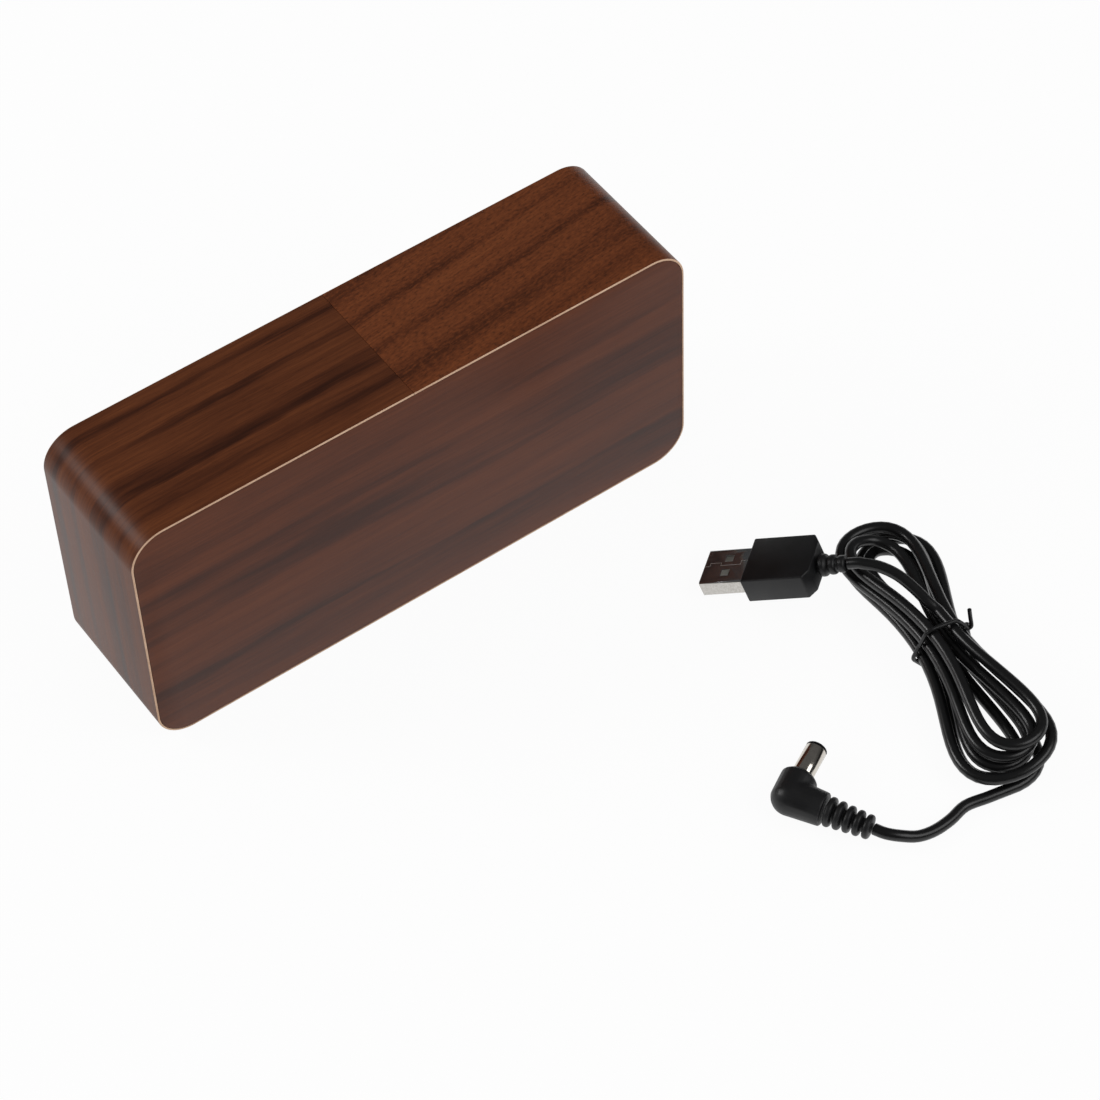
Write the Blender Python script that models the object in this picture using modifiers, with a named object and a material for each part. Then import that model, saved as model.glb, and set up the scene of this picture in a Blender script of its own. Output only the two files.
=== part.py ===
"""Digital alarm clock in a wood-film case, with its tied power cable lying in front of it.

Metres, +Z up. The origin is the middle of the case's base. The front faces -Y, the back cover +Y.
Run it with: blender --background --python part.py
"""

from math import cos, pi, radians, sin

import bmesh
import bpy
from mathutils import Matrix, Vector

# Case
CASE_LENGTH = 0.160
CASE_HEIGHT = 0.0753
CASE_DEPTH = 0.0403
CORNER_RADIUS = 0.0096
CORNER_STEPS = 8

# Clearances and wood
SEAT_GAP = 0.0003
FILM_JOINT = 0.0001
OVERRUN = 0.001
WRAP_THICKNESS = 0.0005
FRONT_FILM_THICKNESS = 0.0004
FRONT_BOARD_THICKNESS = 0.0030
CASE_WALL = 0.0060
GUSSET = 0.0120

# Display
DIGIT_HEIGHT = 0.0260
DIGIT_WIDTH = 0.0145
DIGIT_PITCH = 0.0235
COLON_SPACE = 0.0270
COLON_DOT = 0.0032
COLON_SPREAD = 0.0100
SEGMENT_WIDTH = 0.0030
SEGMENT_SPLIT = 0.0007
MASK_BORDER = 0.0050
MASK_THICKNESS = 0.0050
WINDOW_SKIN = 0.0008
DIFFUSER_THICKNESS = 0.0003
BOARD_THICKNESS = 0.0016
LED_LENGTH = 0.0020
LED_WIDTH = 0.0012
LED_HEIGHT = 0.0008

# Back cover
PLATE_THICKNESS = 0.0022
PLATE_INSET = 0.0008
REBATE = 0.0025
PLATE_RADIUS = 0.0030
SCREW_INSET = 0.0035
SCREW_RADIUS = 0.0012
SCREW_LENGTH = 0.0090
SCREW_HEAD_RADIUS = 0.0025
SCREW_HEAD_HEIGHT = 0.0010
SCREW_HEAD_FLAT = 0.0017

# Battery bay for four cells side by side
CELL_LENGTH = 0.0445
CELL_RADIUS = 0.00525
CELL_PITCH = 0.0110
CELL_COUNT = 4
CONTACT_SPACE = 0.0045
BAY_DEPTH = 0.0120
BAY_WALL = 0.0024
BAY_RIB = 0.0010
BAY_RIB_HEIGHT = 0.0025
BAY_MARGIN = 0.01055
DOOR_THICKNESS = 0.0015
DOOR_LAP = 0.0012
DOOR_TAB_LENGTH = 0.0070
DOOR_TAB_THICKNESS = 0.0012
DOOR_TAB_REACH = 0.0012
LATCH_WIDTH = 0.0110
LATCH_LENGTH = 0.0070
LATCH_SLOT = 0.0008
LATCH_INSET = 0.0016
SPRING_WIRE = 0.0005
SPRING_BASE_RADIUS = 0.0032
SPRING_TIP_RADIUS = 0.0019
SPRING_LENGTH = 0.0040
SPRING_TURNS = 4
CONTACT_SIDE = 0.0080
CONTACT_THICKNESS = 0.0004
CONTACT_BUMP_RADIUS = 0.0018
CONTACT_BUMP = 0.0008

# Main board, on two posts of the back cover
MAIN_BOARD_LENGTH = 0.0440
MAIN_BOARD_HEIGHT = 0.0360
MAIN_BOARD_X = -0.0365
MAIN_BOARD_STANDOFF = 0.0110
POST_RADIUS = 0.0030
POST_INSET = 0.0045
PILOT_DEPTH = 0.0060
BOARD_SCREW_LENGTH = 0.0060

# Buttons and their switches
BUTTON_SIDE = 0.0064
BUTTON_CORNER = 0.0008
BUTTON_CLEARANCE = 0.0004
BUTTON_PROUD = 0.0008
BUTTON_TRAVEL = 0.0005
BUTTON_FLANGE = 0.0014
BUTTON_FLANGE_THICKNESS = 0.0012
BUTTON_PITCH = 0.0105
BUTTON_SHIFT = 0.0040
BUTTON_DROP = 0.0110
BUTTON_EDGE = 0.0005
SWITCH_SIDE = 0.0062
SWITCH_HEIGHT = 0.0035
PLUNGER_RADIUS = 0.0017
PLUNGER_LENGTH = 0.0026
PLUNGER_SUNK = 0.0007

# Supply socket for a 5.5 mm plug
SOCKET_SIDE = 0.0092
SOCKET_BORE = 0.0031
SOCKET_BORE_DEPTH = 0.0085
SOCKET_PIN_RADIUS = 0.0010
SOCKET_PIN_LENGTH = 0.0062
SOCKET_MOUTH_RADIUS = 0.0044
SOCKET_RISE = 0.0085
SOCKET_SHIFT = 0.0085

# Parts on the boards
BUZZER_RADIUS = 0.0060
BUZZER_HEIGHT = 0.0085
BUZZER_EDGE = 0.0005
BUZZER_HOLE = 0.0010
BUZZER_SHIFT = 0.0070
GRILLE_SLOT = 0.0010
GRILLE_PITCH = 0.0024
GRILLE_LENGTH = 0.0090
GRILLE_SLOTS = 5
COIN_RADIUS = 0.00625
COIN_HEIGHT = 0.0020
COIN_EDGE = 0.0003
COIN_SHIFT = 0.0100
HOLDER_WALL = 0.0012
HOLDER_HEIGHT = 0.0038
CHIP_LENGTH = 0.0100
CHIP_WIDTH = 0.0060
CHIP_HEIGHT = 0.0018
CHIP_SHIFT = 0.0100
CHIP_DROP = 0.0030
CHIP_LEGS = 8
CHIP_LEG_WIDTH = 0.0004
CHIP_LEG_REACH = 0.0012
CRYSTAL_RADIUS = 0.0015
CRYSTAL_LENGTH = 0.0062
CRYSTAL_RISE = 0.0060
CAPACITOR_RADIUS = 0.00315
CAPACITOR_HEIGHT = 0.0070
CAPACITOR_GROOVE = 0.0004
CAPACITOR_NECK = 0.0014
CAPACITOR_GAP = 0.0010
MICROPHONE_RADIUS = 0.0030
MICROPHONE_HEIGHT = 0.0050
MICROPHONE_LIP = 0.0005
MICROPHONE_SHIFT = 0.0140
MICROPHONE_DROP = 0.0012
THERMISTOR_RADIUS = 0.0013
THERMISTOR_HEIGHT = 0.0070
THERMISTOR_INSET = 0.0026
HEADER_LENGTH = 0.0150
HEADER_WIDTH = 0.0025
HEADER_SHIFT = 0.0020

# Cable and its plugs
CORD_DIAMETER = 0.0030
USB_TIP = (0.0583, -0.0592, 0.0027)
USB_HEADING = radians(-50.5)
USB_PITCH = radians(21.9)
USB_ROLL = radians(-3.9)
USB_WIDTH = 0.0120
USB_THICKNESS = 0.0045
USB_SHELL_LENGTH = 0.0120
USB_SHELL_WALL = 0.0003
USB_SHELL_RADIUS = 0.0006
USB_WINDOW = 0.0022
USB_WINDOW_FROM_TIP = 0.0063
USB_WINDOW_SPREAD = 0.0050
USB_TONGUE_THICKNESS = 0.0018
USB_GRIP_LENGTH = 0.0182
USB_GRIP_WIDTH = 0.0153
USB_GRIP_THICKNESS = 0.0074
USB_GRIP_TAPER = 0.0022
USB_GRIP_EDGE = 0.0009
USB_RELIEF_LENGTH = 0.0075
USB_RELIEF_RADIUS = 0.0027
USB_RELIEF_END_RADIUS = 0.0024
USB_RELIEF_GROOVE = 0.0006
USB_RELIEF_RIBS = 3
DC_ELBOW = (0.0316, -0.1276)
DC_CORD_HEADING = radians(-62)
DC_BARREL_RADIUS = 0.00275
DC_BARREL_BORE = 0.00125
DC_BARREL_LENGTH = 0.0090
DC_RING_LENGTH = 0.0005
DC_COLLAR_RADIUS = 0.0048
DC_COLLAR_REACH = 0.0067
DC_COLLAR_EDGE = 0.0012
DC_BODY_LENGTH = 0.0090
DC_BODY_END_RADIUS = 0.0043
DC_LIFT = 0.0002
DC_RELIEF_LENGTH = 0.0124
DC_RELIEF_RIBS = 5
DC_RELIEF_RADIUS = 0.0039
DC_RELIEF_END_RADIUS = 0.0032
DC_RELIEF_GROOVE = 0.0012

# Hank: loops wound in four layers about a tied waist, whose turns go in and out by the turn counts below
HANK_WAIST = (0.0891, -0.1152)
HANK_FIRST_TURN = -0.25
HANK_LAST_TURN = 5.0
REVERSAL_TURNS = (1.25, 2.75, 4.25)
CLIMB_SHARE = 0.08
FAN_SHARE = 0.18
FOLD_SHARES = (0.577, 0.385)
HANK_LOOP_POINTS = 24
HANK_HALF_LENGTH = 0.0411
HANK_BULGE = 0.0103
HANK_STEP = 0.0041
HANK_WAIST_HALF = 0.0055
HANK_WAIST_STEP = 0.00385
HANK_LAYER_RISE = 0.00355
HANK_LAYER_SHIFT = 0.00065
HANK_AXIS = radians(17)
HANK_FAN = radians(4.0)
HANK_TIE_LIFT = 0.0015
HANK_LIFT_FULL = 0.0120
HANK_LIFT_NONE = 0.0340
TIE_DIAMETER = 0.0010
TIE_PITCH = 0.0020
TIE_CLEARANCE = 0.0006
TIE_TAIL = 0.0075
TIE_CORNER = 0.0030
TIE_TAIL_OUT_SHARES = (0.45, -0.80, -0.30)
TIE_TAIL_IN_SHARES = (0.50, 0.80, 0.30)
TIE_TAIL_STEPS = 3

# Routes of the free stretches, chosen by hand between the reliefs and the hank
USB_LEAD_ROUTE = (
    (0.0831, -0.0894, 0.0182),
    (0.0857, -0.0930, 0.0186),
    (0.0880, -0.0974, 0.0180),
    (0.0895, -0.1023, 0.0165),
    (0.0903, -0.1072, 0.0150),
)
DC_LEAD_ROUTE = (
    (0.0461, -0.1520, 0.0043),
    (0.0500, -0.1538, 0.0029),
    (0.0547, -0.1544, 0.0020),
    (0.0598, -0.1541, 0.0018),
    (0.0652, -0.1531, 0.0018),
)
LEAD_STEP = 0.0025
TINY = 1e-6

# Colours: base colour, roughness, metallic
WALNUT = ((0.070, 0.026, 0.013, 1), 0.45, 0)
WALNUT_FRONT = ((0.085, 0.040, 0.026, 1), 0.50, 0)
FIBREBOARD = ((0.42, 0.30, 0.19, 1), 0.85, 0)
DARK_FILM = ((0.02, 0.02, 0.02, 1), 0.25, 0)
WHITE_PLASTIC = ((0.80, 0.80, 0.78, 1), 0.45, 0)
BLACK_PLASTIC = ((0.018, 0.018, 0.020, 1), 0.45, 0)
GREEN_BOARD = ((0.02, 0.16, 0.07, 1), 0.40, 0)
NICKEL = ((0.66, 0.64, 0.60, 1), 0.25, 1)
STEEL = ((0.50, 0.50, 0.50, 1), 0.35, 1)
BLACK_RUBBER = ((0.013, 0.013, 0.014, 1), 0.50, 0)

# Derived places, front to back
FRONT = -CASE_DEPTH / 2
BACK = CASE_DEPTH / 2
MIDDLE_Z = CASE_HEIGHT / 2
FRONT_BOARD_FRONT = FRONT + FRONT_FILM_THICKNESS + SEAT_GAP
FRONT_BOARD_BACK = FRONT_BOARD_FRONT + FRONT_BOARD_THICKNESS
FRAME_FRONT = FRONT_BOARD_BACK + SEAT_GAP
DIFFUSER_FRONT = FRONT_BOARD_FRONT + WINDOW_SKIN + SEAT_GAP
MASK_FRONT = DIFFUSER_FRONT + DIFFUSER_THICKNESS + SEAT_GAP
MASK_BACK = MASK_FRONT + MASK_THICKNESS
DISPLAY_BOARD_FRONT = MASK_BACK + SEAT_GAP
DISPLAY_BOARD_BACK = DISPLAY_BOARD_FRONT + BOARD_THICKNESS
PLATE_BACK = BACK - PLATE_INSET
PLATE_FRONT = PLATE_BACK - PLATE_THICKNESS
MAIN_BOARD_BACK = PLATE_FRONT - MAIN_BOARD_STANDOFF
MAIN_BOARD_FRONT = MAIN_BOARD_BACK - BOARD_THICKNESS
SEATED = MAIN_BOARD_BACK + SEAT_GAP
SEATED_FRONT = MAIN_BOARD_FRONT - SEAT_GAP
INNER_LENGTH = CASE_LENGTH - 2 * (WRAP_THICKNESS + SEAT_GAP)
INNER_HEIGHT = CASE_HEIGHT - 2 * (WRAP_THICKNESS + SEAT_GAP)
INNER_RADIUS = CORNER_RADIUS - WRAP_THICKNESS - SEAT_GAP
CAVITY_LENGTH = INNER_LENGTH - 2 * CASE_WALL
CAVITY_HEIGHT = INNER_HEIGHT - 2 * CASE_WALL
PLATE_LENGTH = CAVITY_LENGTH + 2 * (REBATE - SEAT_GAP)
PLATE_HEIGHT = CAVITY_HEIGHT + 2 * (REBATE - SEAT_GAP)
MASK_LENGTH = 2 * DIGIT_PITCH + COLON_SPACE + DIGIT_WIDTH + 2 * MASK_BORDER
MASK_HEIGHT = DIGIT_HEIGHT + 2 * MASK_BORDER
BAY_LENGTH = CELL_LENGTH + 2 * CONTACT_SPACE
BAY_X = CAVITY_LENGTH / 2 - BAY_MARGIN - BAY_WALL - BAY_LENGTH / 2
BAY_LEFT = BAY_X - BAY_LENGTH / 2
BAY_RIGHT = BAY_X + BAY_LENGTH / 2
BAY_HEIGHT = CELL_COUNT * CELL_PITCH
BAY_BASE = MIDDLE_Z - BAY_HEIGHT / 2
BAY_TOP = MIDDLE_Z + BAY_HEIGHT / 2
DOOR_LENGTH = BAY_LENGTH + 2 * DOOR_LAP
DOOR_HEIGHT = BAY_HEIGHT + 2 * DOOR_LAP
DOOR_FRONT = PLATE_BACK - DOOR_THICKNESS
DOOR_BASE = MIDDLE_Z - DOOR_HEIGHT / 2
BAY_RIM = DOOR_FRONT - SEAT_GAP
BAY_FLOOR = BAY_RIM - BAY_DEPTH
TAB_BACK = PLATE_FRONT - SEAT_GAP
TAB_FRONT = TAB_BACK - DOOR_TAB_THICKNESS
SCREW_X = CAVITY_LENGTH / 2 - SCREW_INSET
SCREW_Z = CAVITY_HEIGHT / 2 - SCREW_INSET
FACING_BACK = (0, 1, 0)
FACING_FRONT = (0, -1, 0)


def clear_scene():
    for obj in list(bpy.data.objects):
        bpy.data.objects.remove(obj, do_unlink=True)


def new_collection(name, hidden=False):
    collection = bpy.data.collections.new(name)
    collection.hide_render = hidden
    bpy.context.scene.collection.children.link(collection)
    return collection


clear_scene()
PARTS = new_collection("wooden_digital_alarm_clock")
CUTTERS = new_collection("cutters", hidden=True)


def material(name, look):
    colour, roughness, metallic = look
    made = bpy.data.materials.new(name)
    made.use_nodes = True
    shader = made.node_tree.nodes["Principled BSDF"]
    shader.inputs["Base Color"].default_value = colour
    shader.inputs["Roughness"].default_value = roughness
    shader.inputs["Metallic"].default_value = metallic
    return made


def add_part(name, mesh, look, matrix=None):
    """A named sub-part with its own material."""
    obj = bpy.data.objects.new(name, mesh)
    mesh.materials.clear()
    mesh.materials.append(material(name, look))
    if matrix is not None:
        obj.matrix_world = matrix
    PARTS.objects.link(obj)
    return obj


def add_cutter(name, mesh, matrix=None):
    obj = bpy.data.objects.new(name, mesh)
    if matrix is not None:
        obj.matrix_world = matrix
    obj.hide_render = True
    obj.display_type = "WIRE"
    CUTTERS.objects.link(obj)
    return obj


def shade(obj):
    obj.data.shade_smooth()
    obj.data.set_sharp_from_angle(angle=radians(35))
    return obj


def boolean(obj, other, operation, solver="EXACT"):
    modifier = obj.modifiers.new(other.name, "BOOLEAN")
    modifier.operation = operation
    modifier.object = other
    modifier.solver = solver
    return obj


def cut(obj, *others):
    for other in others:
        boolean(obj, other, "DIFFERENCE")
    return obj


def join(obj, *others):
    for other in others:
        boolean(obj, other, "UNION")
    return obj


def bevel(obj, width, segments=2, angle=radians(40)):
    modifier = obj.modifiers.new("edges", "BEVEL")
    modifier.width = width
    modifier.segments = segments
    modifier.limit_method = "ANGLE"
    modifier.angle_limit = angle
    return obj


def boxes_mesh(name, corners):
    """Boxes between pairs of corners, in one mesh."""
    mesh = bpy.data.meshes.new(name)
    shape = bmesh.new()
    for low, high in corners:
        size = Matrix.Diagonal([b - a for a, b in zip(low, high)])
        middle = [(a + b) / 2 for a, b in zip(low, high)]
        bmesh.ops.create_cube(shape, size=1, matrix=Matrix.Translation(middle) @ size.to_4x4())
    shape.to_mesh(mesh)
    shape.free()
    return mesh


def box_mesh(name, low, high):
    return boxes_mesh(name, [(low, high)])


def centred_box(name, centre, size):
    low = [c - s / 2 for c, s in zip(centre, size)]
    high = [c + s / 2 for c, s in zip(centre, size)]
    return box_mesh(name, low, high)


def rod_mesh(name, radius, start, end, sides=24):
    """A cylinder from start to end, with flat ends."""
    mesh = bpy.data.meshes.new(name)
    shape = bmesh.new()
    axis = Vector(end) - Vector(start)
    turn = Vector((0, 0, 1)).rotation_difference(axis).to_matrix().to_4x4()
    middle = (Vector(start) + Vector(end)) / 2
    bmesh.ops.create_cone(
        shape,
        cap_ends=True,
        segments=sides,
        radius1=radius,
        radius2=radius,
        depth=axis.length,
        matrix=Matrix.Translation(middle) @ turn,
    )
    shape.to_mesh(mesh)
    shape.free()
    return mesh


def rounded_outline(length, height, radius, steps=CORNER_STEPS):
    """Points of a rectangle with round corners, about its middle."""
    points = []
    for corner, (sx, sy) in enumerate(((1, 1), (-1, 1), (-1, -1), (1, -1))):
        for step in range(steps + 1):
            angle = (corner + step / steps) * pi / 2
            x = sx * (length / 2 - radius) + radius * cos(angle)
            y = sy * (height / 2 - radius) + radius * sin(angle)
            points.append((x, y))
    return points


def circle_outline(radius, x=0, y=0, steps=20):
    return [
        (x + radius * cos(2 * pi * step / steps), y + radius * sin(2 * pi * step / steps))
        for step in range(steps)
    ]


def moved(points, x, y):
    return [(px + x, py + y) for px, py in points]


def plate_mesh(name, outlines, thickness):
    """A plate about its mid plane from a filled 2D curve: first its edge, then its holes."""
    curve = bpy.data.curves.new(name, "CURVE")
    curve.dimensions = "2D"
    curve.fill_mode = "BOTH"
    curve.extrude = thickness / 2
    for outline in outlines:
        spline = curve.splines.new("POLY")
        spline.points.add(len(outline) - 1)
        for point, (x, y) in zip(spline.points, outline):
            point.co = (x, y, 0, 1)
        spline.use_cyclic_u = True
    return solid_of_curve(name, curve)


def solid_of_curve(name, curve):
    """The closed mesh of a curve, with its caps welded to its sides."""
    guide = bpy.data.objects.new(name + "_curve", curve)
    CUTTERS.objects.link(guide)
    graph = bpy.context.evaluated_depsgraph_get()
    mesh = bpy.data.meshes.new_from_object(guide.evaluated_get(graph))
    mesh.name = name
    bpy.data.objects.remove(guide, do_unlink=True)
    shape = bmesh.new()
    shape.from_mesh(mesh)
    bmesh.ops.remove_doubles(shape, verts=shape.verts, dist=TINY)
    bmesh.ops.recalc_face_normals(shape, faces=shape.faces)
    shape.to_mesh(mesh)
    shape.free()
    return mesh


def upright(y, x=0, z=0):
    """Turns a plate's plane to face along Y, at this depth."""
    return Matrix.Translation((x, y, z)) @ Matrix.Rotation(pi / 2, 4, "X")


def front_plate(name, outlines, front, back, look, x=0, z=MIDDLE_Z):
    mesh = plate_mesh(name, outlines, back - front)
    return add_part(name, mesh, look, upright((front + back) / 2, x, z))


def plate_cutter(name, outlines, front, back, x=0, z=MIDDLE_Z):
    mesh = plate_mesh(name, outlines, back - front)
    return add_cutter(name, mesh, upright((front + back) / 2, x, z))


def turned(name, profile, look, matrix, steps=24):
    """A revolved profile of (radius, height), listed down its outer side from the top of the axis."""
    mesh = bpy.data.meshes.new(name)
    shape = bmesh.new()
    points = [shape.verts.new((radius, 0, height)) for radius, height in profile]
    for first, second in zip(points, points[1:]):
        shape.edges.new((first, second))
    if profile[0][0] > 0:
        shape.edges.new((points[-1], points[0]))
    shape.to_mesh(mesh)
    shape.free()
    obj = add_part(name, mesh, look, matrix)
    screw = obj.modifiers.new("turn", "SCREW")
    screw.steps = steps
    screw.render_steps = steps
    screw.use_merge_vertices = True
    screw.merge_threshold = TINY
    screw.use_smooth_shade = True
    return obj


def along(start, direction):
    """A frame whose Z runs along a direction from a point."""
    turn = Vector((0, 0, 1)).rotation_difference(Vector(direction)).to_matrix().to_4x4()
    return Matrix.Translation(start) @ turn


def wrap_outline():
    """The film goes round the case from one side of the butt joint on top to the other."""
    outer = rounded_outline(CASE_LENGTH, CASE_HEIGHT, CORNER_RADIUS)
    inner = rounded_outline(
        CASE_LENGTH - 2 * WRAP_THICKNESS,
        CASE_HEIGHT - 2 * WRAP_THICKNESS,
        CORNER_RADIUS - WRAP_THICKNESS,
    )
    half = FILM_JOINT / 2
    top, under = CASE_HEIGHT / 2, CASE_HEIGHT / 2 - WRAP_THICKNESS
    split = CORNER_STEPS + 1
    outer_way = [(-half, top)] + outer[split:] + outer[:split] + [(half, top)]
    inner_way = [(half, under)] + (inner[split:] + inner[:split])[::-1] + [(-half, under)]
    return outer_way + inner_way


def make_case():
    front_plate("wrap_veneer", [wrap_outline()], FRONT, BACK, WALNUT)
    inset = 2 * (WRAP_THICKNESS + FILM_JOINT)
    face = rounded_outline(CASE_LENGTH - inset, CASE_HEIGHT - inset, CORNER_RADIUS - inset / 2)
    front_plate("front_veneer", [face], FRONT, FRONT + FRONT_FILM_THICKNESS, WALNUT_FRONT)
    outline = rounded_outline(INNER_LENGTH, INNER_HEIGHT, INNER_RADIUS)
    board = front_plate("front_board", [outline], FRONT_BOARD_FRONT, FRONT_BOARD_BACK, FIBREBOARD)
    pocket = rounded_outline(MASK_LENGTH + 2 * SEAT_GAP, MASK_HEIGHT + 2 * SEAT_GAP, MASK_BORDER / 2)
    pocket_front = FRONT_BOARD_FRONT + WINDOW_SKIN
    cut(board, plate_cutter("window_pocket", [pocket], pocket_front, FRONT_BOARD_BACK + OVERRUN))
    cavity = cavity_outline()
    frame = front_plate("case_frame", [outline, cavity], FRAME_FRONT, BACK, FIBREBOARD)
    wider = 2 * SEAT_GAP
    seat = rounded_outline(PLATE_LENGTH + wider, PLATE_HEIGHT + wider, PLATE_RADIUS + SEAT_GAP)
    cut(frame, plate_cutter("cover_rebate", [seat], PLATE_FRONT - SEAT_GAP, BACK + OVERRUN))
    pilot_end = PLATE_BACK - SCREW_LENGTH - OVERRUN
    for number, (x, z) in enumerate(screw_places(), 1):
        hole = rod_mesh("pilot", SCREW_RADIUS + SEAT_GAP, (x, pilot_end, z), (x, BACK + OVERRUN, z), 12)
        cut(frame, add_cutter(f"pilot_{number}", hole))


def cavity_outline():
    """A rectangle with its corners cut off, which leaves the blocks that take the cover's screws."""
    half_x, half_z = CAVITY_LENGTH / 2, CAVITY_HEIGHT / 2
    corners = ((half_x, half_z), (-half_x, half_z), (-half_x, -half_z), (half_x, -half_z))
    points = []
    for number, (x, z) in enumerate(corners):
        sx, sz = (1 if x > 0 else -1), (1 if z > 0 else -1)
        pair = [(x, z - sz * GUSSET), (x - sx * GUSSET, z)]
        points += pair if number % 2 == 0 else pair[::-1]
    return points


def screw_places():
    return [(sx * SCREW_X, MIDDLE_Z + sz * SCREW_Z) for sx in (-1, 1) for sz in (-1, 1)]


def segment_outline(x, z, length, upright_segment):
    """A bar with pointed ends, one of a digit's seven."""
    half, tip = SEGMENT_WIDTH / 2, length / 2
    shoulder = tip - half
    bar = [(-tip, 0), (-shoulder, -half), (shoulder, -half), (tip, 0), (shoulder, half), (-shoulder, half)]
    if upright_segment:
        bar = [(-b, a) for a, b in bar]
    return moved(bar, x, z)


def segments():
    """Centre, length and direction of the seven bars of each digit."""
    wide = DIGIT_WIDTH - SEGMENT_WIDTH
    tall = (DIGIT_HEIGHT - SEGMENT_WIDTH) / 2
    half_colon = COLON_SPACE / 2
    for x in (-half_colon - DIGIT_PITCH, -half_colon, half_colon, half_colon + DIGIT_PITCH):
        for row in (-1, 0, 1):
            yield x, row * tall, wide - SEGMENT_SPLIT * 2, False
        for side in (-1, 1):
            for row in (-1, 1):
                yield x + side * wide / 2, row * tall / 2, tall - SEGMENT_SPLIT * 2, True


def make_display():
    mask_edge = rounded_outline(MASK_LENGTH, MASK_HEIGHT, MASK_BORDER / 2, 4)
    film_front, film_back = DIFFUSER_FRONT, DIFFUSER_FRONT + DIFFUSER_THICKNESS
    front_plate("diffuser_film", [mask_edge], film_front, film_back, DARK_FILM)
    windows = [segment_outline(x, z, length, tall) for x, z, length, tall in segments()]
    dots = [circle_outline(COLON_DOT / 2, 0, side * COLON_SPREAD / 2, 12) for side in (-1, 1)]
    front_plate("segment_mask", [mask_edge] + windows + dots, MASK_FRONT, MASK_BACK, WHITE_PLASTIC)
    board_edge = rounded_outline(MASK_LENGTH, MASK_HEIGHT, MASK_BORDER / 4, 2)
    board = front_plate("display_board", [board_edge], DISPLAY_BOARD_FRONT, DISPLAY_BOARD_BACK, GREEN_BOARD)
    places = [(x, z, tall) for x, z, _, tall in segments()]
    places += [(0, side * COLON_SPREAD / 2, False) for side in (-1, 1)]
    chips = []
    for x, z, tall in places:
        half_x, half_z = (LED_WIDTH, LED_LENGTH) if tall else (LED_LENGTH, LED_WIDTH)
        low = (x - half_x / 2, DISPLAY_BOARD_FRONT - LED_HEIGHT, MIDDLE_Z + z - half_z / 2)
        high = (x + half_x / 2, DISPLAY_BOARD_FRONT + BOARD_THICKNESS / 2, MIDDLE_Z + z + half_z / 2)
        chips.append((low, high))
    join(board, add_cutter("led_chips", boxes_mesh("led_chips", chips)))


def button_places():
    middle = MAIN_BOARD_X - BUTTON_SHIFT
    return [(middle + step * BUTTON_PITCH, MIDDLE_Z - BUTTON_DROP) for step in (-1, 0, 1)]


def post_places():
    half_x, half_z = MAIN_BOARD_LENGTH / 2 - POST_INSET, MAIN_BOARD_HEIGHT / 2 - POST_INSET
    return [(MAIN_BOARD_X - half_x, MIDDLE_Z + half_z), (MAIN_BOARD_X + half_x, MIDDLE_Z - half_z)]


def socket_place():
    return MAIN_BOARD_X + SOCKET_SHIFT, MIDDLE_Z + SOCKET_RISE


def buzzer_place():
    return MAIN_BOARD_X - BUZZER_SHIFT, MIDDLE_Z + SOCKET_RISE


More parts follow.
